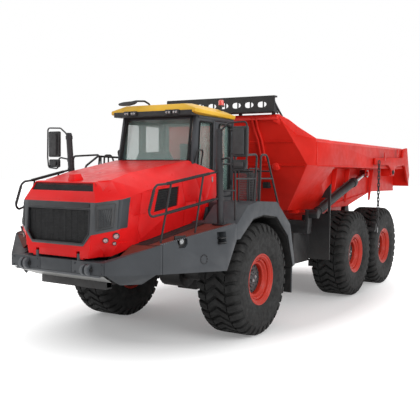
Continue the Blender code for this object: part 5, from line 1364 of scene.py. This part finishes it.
class TRUCK_OT_rails(TruckOperator, bpy.types.Operator):
    """Handrails with wrapped grips, mirror posts, mirrors and the loops on the fenders"""

    bl_idname = "truck.rails"
    bl_label = "Rails and mirrors"

    def execute(self, context):
        for name, turn in sides():
            def part(label, shapes, look, slot="chassis_black", on=f"rails_{name}", **more):
                piece(f"{label}_{name}", turn(together(*shapes)), on, look, slot=slot, **more)

            self.handrails(name, part)
            self.post(part)
            self.mirrors(part)
            self.ladder(part, f"fender_{name}")
        x = FAR_RAIL_X
        runs = [tube([(x, -0.99, 1.90), (x, -0.99, 2.66), (x, -0.94, 2.76), (x, -0.64, 2.93), (x, -0.05, 2.92),
                      (x, 0.0, 2.88), (x, 0.0, 2.19)], 0.018)]
        runs += [tube([(x, -0.56, 2.155), (x, -0.56, 2.93)], 0.014),
                 tube([(x, -0.36, 2.205), (x, -0.36, 2.925)], 0.014)]
        piece("far_rail", runs, "front_chassis", "rail_grey")
        return {"FINISHED"}

    def handrails(self, name, part):
        """The bent rail beside the hood, its stanchions, the loops over the fender and the grips."""
        radius = sizes().tube
        x, lx = RAIL_X, LOOP_X
        low, bend = (x + 0.06, -2.30, 2.095), (x + 0.03, -2.2, 2.507)
        loop = [post_at(2.29), low, (x, -2.49, 2.062), (x, -2.54, 2.13), (x, -2.42, 2.45), (x, -2.355, 2.495), bend,
                post_at(2.69)]
        runs = [tube(loop, radius, bend=0.07)]
        for px, py, top in ((x + 0.015, -2.295, (x + 0.05, -2.10, 2.518)),
                            (x + 0.137, -1.62, (x + 0.165, -1.452, 2.635))):
            deck = deck_top(py)
            runs += [tube([(px, py, deck - 0.02), top], radius * 0.9),
                     plate((px - 0.05, px + 0.05), (py - 0.05, py + 0.05), (deck - 0.045, deck - 0.028), 0.004)]
        loops = ([(-0.86, 1.95), (-0.885, 2.90), (-0.84, 2.928), (-0.24, 2.965), (-0.19, 2.94), (-0.275, 2.20)],
                 [(-0.09, 2.20), (-0.055, 2.93), (-0.02, 2.965), (0.12, 2.968), (0.17, 2.93), (0.66, 2.02)])
        runs += [tube([(lx, y, z) for y, z in path], radius, bend=0.07) for path in loops]
        runs += [tube([(lx, a, 2.58), (lx, b, 2.58)], radius * 0.85) for a, b in ((-0.88, -0.235), (-0.072, 0.355))]
        runs += [tube([post_at(z), (lx, -0.88, z)], 0.014) for z in (2.40, 2.80)]
        part("handrails", runs, "rail_grey", stands_for=[f"rails_{name}"], smooth=40)
        low, bend, high, top = Vector(low), Vector(bend), post_at(2.29), post_at(2.69)
        part("grips", [grip_wrap(a, b, radius * 1.3) for a, b in (
            ((x, -2.532, 2.151), (x, -2.43, 2.424)), (low.lerp(high, 0.04), low.lerp(high, 0.88)),
            (bend.lerp(top, 0.02), bend.lerp(top, 0.80)))], "black_mesh")

    def post(self, part):
        """Round mirror post with its foot, cap and clamps."""
        head = Vector(POST_HEAD)
        post = [rod(post_at(1.885), head, 0.052, 28),
                rod(head - Vector((0, 0, 0.004)), head + Vector((0, 0, 0.02)), 0.045, 28),
                plate((1.40, 1.60), (-1.12, -0.97), (1.880, 1.902), 0.006)]
        post += [rod(post_at(z - 0.03), post_at(z + 0.03), 0.060, 28) for z in (2.29, 2.69, 2.86, 3.24)]
        part("mirror_post", post, "post_grey")
        places = [(1.5 + a, -1.045 + b, 1.902) for a in (-0.08, 0.08) for b in (-0.055, 0.055)]
        part("post_bolts", [bolts(places, (0, 0, 1), 0.010, "chassis_black", 0.008)], "chassis_black")

    def mirrors(self, part):
        """Two moulded mirror heads in a bent tube frame, their glass facing back."""
        x0, y0 = MIRROR_X, MIRROR_Y
        frame_path = [post_at(3.24), (1.60, -1.15, 3.33), (1.70, -1.16, 3.405), (2.005, y0, 3.415),
                      (2.012, y0, 2.90), (1.99, y0, 2.72), (1.76, y0, 2.70), (1.735, y0, 2.90), post_at(2.86)]
        part("mirror_frame", [tube(frame_path, 0.013, bend=0.05)], "rail_grey")
        heads, panes = [], []
        for half, low, high in ((0.130, 2.905, 3.355), (0.120, 2.725, 2.865)):
            heads += [plate((x0 - half, x0 + half), (y0 + 0.012, y0 + 0.072), (low, high), 0.022, 4),
                      plate((x0 - half + 0.04, x0 + half - 0.04), (y0 - 0.022, y0 + 0.03), (low + 0.03, high - 0.03),
                            0.018, 4)]
            panes.append(plate((x0 - half + 0.014, x0 + half - 0.014), (y0 + 0.070, y0 + 0.0745),
                               (low + 0.014, high - 0.014), 0.0015))
            heads += [rod((x0 - half - 0.03, y0 + 0.02, z), (x0 - half + 0.02, y0 + 0.02, z), 0.010, 10)
                      for z in (low + 0.05, high - 0.05)]
        part("mirror_heads", heads, "mirror_shell", "black_plastic")
        part("mirror_panes", panes, "mirror_glass")

    def ladder(self, part, fender):
        """Screens between the cab and the fender, and the air pipes."""
        x = SCREEN_X
        bays = ((-0.35, -0.06), (-0.01, 0.32))
        shapes = [mesh_screen([(x, a, 2.22), (x, b, 2.22), (x, b, 2.72), (x, a + 0.04, 2.72)], "chassis_black", 0.028)
                  for a, b in bays]
        shapes += [tube([(x, a, 2.19), (x, b, 2.19), (x, b, 2.74), (x, a, 2.74)], 0.012, bend=0.03, closed=True)
                   for a, b in bays]
        shapes += [tube([(x, y, 2.12), (x, y, 2.20)], 0.014) for a, b in bays for y in (a + 0.02, b - 0.02)]
        shapes += [tube([(x, y, 2.70), (LOOP_X, y, 2.70)], 0.012) for y in (-0.30, 0.27)]
        part("ladder_screens", shapes, "rail_grey", on=fender)
        pipes = [tube([(1.12, y, 1.86), (1.12, y, 2.62), (1.00, y, 2.70), (0.72, y, 2.70), (0.66, 0.55, 2.70)], r,
                      bend=0.10) for y, r in ((0.65, 0.045), (0.74, 0.03))]
        part("air_pipes", pipes, "chassis_black", on=fender)


def grip_wrap(a, b, radius):
    """A ribbed rubber grip wound round a tube from a to b."""
    a, b = Vector(a), Vector(b)
    count = max(3, int((b - a).length / 0.024))
    step = (b - a) / count
    coil = [(0, 0.6 * radius), (0.002, radius), (0.010, radius * 1.06), (0.016, radius), (0.018, 0.6 * radius)]
    coil = turned(coil, (0, 0, 0), step.normalized(), 14)
    return shifted(row(coil, count, step, "black_plastic"), a)


class TRUCK_OT_fenders(TruckOperator, bpy.types.Operator):
    """Front fenders with their black liners, edges and rubber flaps"""

    bl_idname = "truck.fenders"
    bl_label = "Fenders"

    def execute(self, context):
        inside = [(1.07, 1.03), (0.86, 1.58), (0.41, 1.94), (-0.07, 1.995), (-0.415, 1.95), (-0.78, 1.70)]
        liner = [(y, z - 0.003) for y, z in inside] + [(y * 0.985, z - 0.028) for y, z in reversed(inside)]
        edge = [(BOX_OUT - 0.012, y, z - 0.006) for y, z in inside]
        # Each part: its shape, its finish and its slot where that isn't the nearest one.
        parts = {
            "liner": (prism(liner, "x", 0.95, BOX_OUT - 0.03), "seal_rubber", None),
            "arch_edge": (tube(edge, 0.010, "seal_rubber", 0.05, 8), "seal_rubber", None),
            "flap": (plate((1.02, BOX_OUT - 0.045), (1.074, 1.079), (0.56, 1.12), 0.002), "seal_rubber", None),
            "flap_strap": (plate((1.00, BOX_OUT - 0.035), (1.066, 1.076), (1.10, 1.15), 0.003), "chassis_black",
                           "engine_steel"),
            "side_block": (plate((0.80, 0.90), (-0.50, -0.32), (1.915, 2.095), 0.008), "light_slate", None),
            "side_cover": (plate((0.80, 0.895), (-0.32, -0.10), (1.88, 2.10), 0.012), "black_plastic", None),
        }
        for name, turn in sides():
            node = f"fender_{name}"
            refined(node, 0.022, 4, cutters=[turn(box((0.85, 1.12), (-1.10, -0.45), (1.905, 2.4)))])
            for label, (mesh, look, slot) in parts.items():
                piece(f"{label}_{name}", turn(mesh), node, look, slot=slot)
        return {"FINISHED"}


# ---- Bed -------------------------------------------------------------------------------------------
BED_OUT = 1.72
HOIST_EYE_Y, HOIST_EYE_Z = 5.616, 2.672
SLOT_PITCH, SLOT_COUNT = 0.27, 8         # slots in the headboard


def bed_tube(path, radius, bend=0.05, count=8):
    return tube(path, radius, "bed_red", bend, count)


class TRUCK_OT_bed(TruckOperator, bpy.types.Operator):
    """Bed with its ribs, rim band, folds, gussets, lugs, sills and headboard"""

    bl_idname = "truck.bed"
    bl_label = "Bed"

    def execute(self, context):
        notch = prism([(1.62, 3.85), (1.80, 3.50), (2.03, 3.33), (3.0, 3.33), (3.0, 3.85)], "x", 1.22, 1.9)
        refined("bed_tub", 0.016, 3, cutters=both(notch))
        refined("bed_sills", 0.010)
        path = ((0, 1.44, 3.70), (0.02, 1.50, 3.50), (0.07, 1.575, 3.28), (0.09, 1.63, 3.06), (0.09, 1.70, 2.90))
        ribs = [bed_tube([(x + dx, y, z) for dx, y, z in path], 0.022, 0.10) for x in (0.66, 0.74, 0.0, 0.08)]
        pair("front_ribs", ribs, "bed", "bed_red")
        self.rim()
        self.folds()
        self.gussets()
        self.side_plates()
        self.headboard()
        return {"FINISHED"}

    def rim(self):
        """Square rim along the top of the front wall and down its corners, and the top rails on the sides."""
        section = [(x, y, z) for half, y, z in ((1.20, 1.425, 3.65), (1.20, 1.455, 3.752), (1.22, 1.55, 3.752),
                                                (1.20, 1.52, 3.65)) for x in (-half, half)]
        piece("front_rim", rounded(hull(section), 0.014, 3), "bed", "bright_red")
        edge = [Vector(p) for p in ((1.19, 1.435, 3.752), (1.36, 1.555, 3.655), (1.47, 1.725, 3.53),
                                    (1.722, 2.02, 3.318))]
        down, back = Vector((-0.085, -0.006, -0.13)), Vector((0.004, 0.035, 0.004))
        runs = [hull([p + d + b for p in ends for d in (Vector(), down) for b in (Vector(), back)])
                for ends in zip(edge, edge[1:])]
        piece("corner_rims", rounded(together(*both(*runs)), 0.006), "bed", "bright_red")
        pair("top_rails", [plate((1.665, BED_OUT + 0.006), (2.02, 7.49), (3.262, 3.318), 0.012, 3)], "bed",
             "bright_red")

    def folds(self):
        """Low pressed ridges where the front wall folds, and the vertical seam beside the side panel."""
        ridges = (((1.44, 1.612, 3.235), (1.44, 1.606, 3.262), (1.43, 1.65, 3.27), (1.43, 1.67, 3.22)),
                  ((1.62, 1.765, 2.80), (1.62, 1.755, 2.832), (1.60, 1.80, 2.85), (1.60, 1.84, 2.79)))
        piece("front_folds", [hull([(x, y, z) for half, y, z in ridge for x in (-half, half)]) for ridge in ridges],
              "bed", "bed_red")
        x = BED_OUT + 0.008
        pair("corner_seams", [plate((1.70, x), (2.055, 2.085), (2.82, 3.29), 0.005)], "bed", "bed_red")
        pair("side_folds", [plate((1.66, x), (2.10, 7.60), (2.800, 2.842), 0.010)], "bed", "bed_red")

    def gussets(self):
        """Diagonal stiffeners from the knee to the lip plate, the round lug and the rubber stop."""
        ties = [bed_tube([(x0, 1.90, 2.78), ((x0 + x1) / 2, 2.12, 2.38), (x1, 2.38, 1.96)], 0.024)
                for x0, x1 in ((1.60, 1.02), (1.45, 0.92))]
        pair("front_gussets", ties, "bed", "bed_red")
        lug = [([(-0.02, 0), (-0.02, 0.075), (0.05, 0.07), (0.055, 0.06), (0.055, 0)], 32),
               ([(0.055, 0), (0.055, 0.032), (0.062, 0.028), (0.062, 0)], 24)]
        pair("front_lugs", [turned(outline, (1.02, 1.80, 2.79), (0, -1, 0), count) for outline, count in lug], "bed",
             "bright_red")
        pair("bed_stops", [plate((0.66, 0.79), (1.92, 2.04), (2.37, 2.49), 0.012)], "bed", "seal_rubber")
        lip = hull([(0.90, 2.60, 1.93), (1.14, 2.60, 1.93), (0.90, 3.30, 1.90), (1.08, 3.30, 1.90),
                    (0.90, 2.60, 1.86), (1.10, 2.60, 1.86), (0.90, 3.30, 1.85), (1.05, 3.30, 1.85)])
        pair("lip_plates", [rounded(lip, 0.01)], "bed", "bed_red")

    def side_plates(self):
        """Weld beads and stiffeners on the lower side, and the hoist's pin brackets."""
        stiff = [rounded(hull([(x, y + way * half, z) for z, reach, top in ((2.02, 1.32, 2.04), (2.76, 1.40, 2.775))
                               for x, half, z in ((1.285, 0.03, z), (reach, 0.02, top)) for way in (-1, 1)]), 0.006)
                 for y in (3.95, 4.70, 6.30)]
        pair("side_stiffeners", stiff, "bed", "bed_red")
        y, z = HOIST_EYE_Y, HOIST_EYE_Z
        ear = [(y - 0.11, z + 0.13), (y + 0.11, z + 0.13), (y + 0.08, z - 0.04), (y + 0.03, z - 0.095),
               (y - 0.03, z - 0.095), (y - 0.08, z - 0.04)]
        ears = [rounded(prism(ear, "x", x - 0.014, x + 0.014), 0.004) for x in (1.302, 1.470)]
        pair("hoist_ears", ears, "bed", "bed_red")
        pair("hoist_pins", [rod((1.28, y, z), (1.50, y, z), 0.040, 24), rod((1.495, y, z), (1.512, y, z), 0.055, 24)],
             "bed", "bright_red")
        pair("side_welds", [bed_tube([(1.295, 3.72, 2.772), (1.295, 6.44, 2.782)], 0.012),
                            bed_tube([(1.262, 3.72, 1.965), (1.275, 6.40, 2.232)], 0.016)], "bed", "bed_red")

    def headboard(self):
        """Guard plate with its slots, the bars behind them and the end braces."""
        refined("headboard", 0.010)
        turns = [2 * pi * k / 28 for k in range(28)]
        ovals = [prism([(SLOT_PITCH * (n - 3.5) + 0.100 * cos(a), 3.922 + 0.054 * sin(a)) for a in turns], "y",
                       1.2, 1.4) for n in range(SLOT_COUNT)]
        piece("headboard_face", cut(box((-1.195, 1.195), (1.289, 1.301), (3.79, 4.055)), *ovals), "bed",
              "chassis_black")
        bar = plate((-0.007, 0.007), (1.34, 1.38), (3.80, 4.05), 0.003)
        bars = shifted(row(bar, SLOT_COUNT, (SLOT_PITCH, 0, 0), "chassis_black"), (-0.945, 0, 0))
        piece("headboard_bars", bars, "bed", "chassis_black", slot="bed_red")
        gusset = hull([(x, y, z) for y, z in ((1.36, 3.80), (1.36, 4.02), (1.52, 3.76)) for x in (1.16, 1.18)])
        brace = bed_tube([(1.17, 1.345, 3.98), (1.185, 1.48, 3.85), (1.20, 1.66, 3.70)], 0.018, 0.04, 10)
        pair("headboard_braces", [brace, rounded(gusset, 0.003)], "bed", "chassis_black", slot="bed_red")


GATE_PIVOT_Y, GATE_PIVOT_Z = 6.60, 2.71
LINK_WIRE = 0.0115
LINK_STEP = 0.78                         # of the link pitch, since each link lies inside the next


class TRUCK_OT_tailgate(TruckOperator, bpy.types.Operator):
    """Tailgate with its arm plates, pivots and ribs, the bed's rear sill, and the two lifting chains"""

    bl_idname = "truck.tailgate"
    bl_label = "Tailgate and chains"

    def execute(self, context):
        refined("tailgate", 0.010)
        plates = []
        for y in (5.95, 6.95):
            z = 3.02 + 0.11 * (y - 5.41)
            plates.append(plate((1.776, 1.792), (y - 0.05, y + 0.05), (z - 0.10, z + 0.10), 0.004))
        pair("arm_plates", plates, "tailgate", "bed_red")
        y, z = GATE_PIVOT_Y, GATE_PIVOT_Z
        pair("gate_pivots", [rod((1.70, y, z), (1.80, y, z), 0.055, 28), rod((1.80, y, z), (1.812, y, z), 0.034, 6)],
             "tailgate", "chassis_black")
        gate = swollen(cad_shape("tailgate"), 0.020)
        bands = [((x - 0.035, x + 0.035), (2.42, 3.25)) for x in (-1.35, -0.68, 0.0, 0.68, 1.35)]
        ribs = [common(gate, box(x, (7.45, 8.2), z)) for x, z in (*bands, ((-1.70, 1.70), (2.93, 3.00)))]
        piece("gate_ribs", ribs, "tailgate", "bed_red")
        piece("floor_sill", plate((-1.29, 1.29), (7.922, 7.952), (2.235, 2.405), 0.005), "bed", "bed_red")
        self.chains()
        return {"FINISHED"}

    def chains(self):
        """Links, the hook at their lower end and the bar that it is fixed to."""
        (low_x, low_y, low), (high_x, high_y, high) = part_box("chain_left")
        left, y = (low_x + high_x) / 2, (low_y + high_y) / 2 - AXLE_Y
        pitch = sizes().link_pitch
        count = int((high - low - 0.12) / pitch)
        link = tube([(0, -0.022, 0.040), (0, 0.022, 0.040), (0, 0.022, -0.040), (0, -0.022, -0.040)], LINK_WIRE,
                    "chain_steel", 0.020, 6, True)
        link.transform(Matrix.Rotation(radians(45), 4, "Z"))
        links = row(link, count, (0, 0, pitch * LINK_STEP), "chain_steel", pi / 2)
        fit = (high - low - 0.10) / ((count - 1) * pitch * LINK_STEP)
        for name, side in SIDES.items():
            node, x = f"chain_{name}", side * left
            mesh = links.copy()
            mesh.transform(Matrix.Translation((x, y, low + 0.04)) @ Matrix.Diagonal((1, 1, fit, 1)))
            piece(f"{node}_links", mesh, node, "chain_steel", [node])
            hook = [(x, y, low + 0.02), (x, y - 0.035, low + 0.05), (x, y - 0.035, low + 0.12), (x, y, low + 0.16)]
            piece(f"{node}_hook", tube(hook, 0.011, "chain_steel", 0.02, 10), node, "chain_steel")
            x = side * (left + 0.005)
            handle = rod((x, y - 0.01, low + 0.02), (x, y - 0.01, low - 0.13), 0.012, 12)
            piece(f"{node}_handle", handle, "rear_frame", "bolt_steel", slot="chain_steel")


# ---- Cylinders and chassis -------------------------------------------------------------------------
HOIST_X = 1.40
HOIST_FOOT_Y, HOIST_FOOT_Z = 2.75, 1.855
BARREL_OUT, BARREL_IN = 0.085, 0.055
BARREL_END = 2.28                        # along the cylinder, from the foot's pin
FRAME_SIDE = 0.513


class TRUCK_OT_hoists(TruckOperator, bpy.types.Operator):
    """Tipping cylinders with their collars, pins and pipes, and the steering cylinders"""

    bl_idname = "truck.hoists"
    bl_label = "Cylinders"

    def execute(self, context):
        outer, inner = BARREL_OUT, BARREL_IN
        gland = [(-0.13, outer * 0.98), (-0.13, outer + 0.014), (-0.10, outer + 0.020), (-0.02, outer + 0.020),
                 (0.0, outer + 0.010), (0.004, inner + 0.012), (0.004, inner + 0.002), (-0.13, inner + 0.002)]
        base = [(0, outer * 0.9), (0, outer + 0.010), (0.05, outer + 0.010), (0.05, outer * 0.9)]
        for name, side in SIDES.items():
            barrel = f"hoist_barrel_{name}"
            foot = Vector((side * HOIST_X, HOIST_FOOT_Y, HOIST_FOOT_Z))
            along = (Vector((side * HOIST_X, HOIST_EYE_Y, HOIST_EYE_Z)) - foot).normalized()
            refined(barrel, 0.008, 3)
            collars = [turned(gland, foot + along * BARREL_END, along, 40),
                       turned(base, foot + along * 0.06 + along * 0.12, along, 40)]
            piece(f"{barrel}_collars", collars, barrel, "chassis_black", slot=SLOT[barrel])
            keep(f"hoist_rod_{name}")
            pin = [rod(foot + Vector((side * a, 0, 0)), foot + Vector((side * b, 0, 0)), radius, 24)
                   for a, b, radius in ((-0.09, 0.09, 0.036), (0.082, 0.094, 0.052))]
            piece(f"{barrel}_pin", pin, "rear_chassis", "chassis_black")
            refined(f"steer_barrel_{name}", 0.006)
            keep(f"steer_rod_{name}")
            up = Vector((0, 0, 0.03))
            a, b = (foot + along * reach + Vector((0, 0, 0.095)) for reach in (0.30, 2.05))
            piece(f"hoist_pipe_{name}", tube([a, a + up, b + up, b], 0.010, bend=0.03), barrel, "chassis_black")
        return {"FINISHED"}


class TRUCK_OT_chassis(TruckOperator, bpy.types.Operator):
    """Frames, axles, beams, hitch, radiator and engine, with the front frame's bolts, shaft and hoses"""

    bl_idname = "truck.chassis"
    bl_label = "Chassis"

    def execute(self, context):
        for node in ("front_frame", "radiator", "engine", "front_axle", "yoke", "rear_frame", "middle_axle",
                     "rear_axle", "walking_beam_left", "walking_beam_right"):
            refined(node, 0.010)
        hoses = [tube([(x, 0.55, 1.36), (x, 0.95, 1.46 + 0.02 * n), (x * 1.4, 1.36, 1.50), (x, 1.80, 1.40),
                       (x, 2.05, 1.36)], 0.016, bend=0.18) for n, x in enumerate((-0.16, -0.08, 0.08, 0.16))]
        piece("hitch_hoses", hoses, "front_chassis", "seal_rubber", slot="chassis_black")
        piece("front_shaft", rod((0, 0.35, 0.98), (0, 1.05, 0.95), 0.05), "front_chassis", "chassis_black")
        for name, side in SIDES.items():
            spots = [(side * FRAME_SIDE, y, z) for y in (-2.0, -1.5, -1.0, -0.5) for z in (1.18, 1.34)]
            piece(f"frame_bolts_{name}", bolts(spots, (side, 0, 0), 0.015), "front_chassis", "chassis_black")
        return {"FINISHED"}


# ---- Panel and registration ------------------------------------------------------------------------
STEPS = [TRUCK_OT_stage, TRUCK_OT_tyres, TRUCK_OT_rims, TRUCK_OT_bumper, TRUCK_OT_side_boxes, TRUCK_OT_hood,
         TRUCK_OT_mask, TRUCK_OT_cab, TRUCK_OT_rails, TRUCK_OT_fenders, TRUCK_OT_bed, TRUCK_OT_tailgate,
         TRUCK_OT_hoists, TRUCK_OT_chassis]


class TRUCK_PT_panel(bpy.types.Panel):
    """Lists the truck's sizes, colours and steps"""

    bl_idname = "TRUCK_PT_panel"
    bl_label = "Truck"
    bl_space_type = "VIEW_3D"
    bl_region_type = "UI"
    bl_category = "Truck"

    def draw(self, context):
        for group in (context.scene.truck_sizes, context.scene.truck_colours):
            for name in group.__annotations__:
                self.layout.prop(group, name)
        for step in STEPS:
            self.layout.operator(step.bl_idname)


CLASSES = [TruckSizes, TruckColours, *STEPS, TRUCK_PT_panel]


def register():
    for cls in CLASSES:
        bpy.utils.register_class(cls)
    bpy.types.Scene.truck_sizes = bpy.props.PointerProperty(type=TruckSizes)
    bpy.types.Scene.truck_colours = bpy.props.PointerProperty(type=TruckColours)


def unregister():
    del bpy.types.Scene.truck_colours
    del bpy.types.Scene.truck_sizes
    for cls in reversed(CLASSES):
        bpy.utils.unregister_class(cls)


def main():
    register()
    for step in STEPS:
        area, name = step.bl_idname.split(".")
        if "FINISHED" not in getattr(getattr(bpy.ops, area), name)():
            raise RuntimeError(f"{step.bl_label} did not finish")


if __name__ == "__main__":
    main()
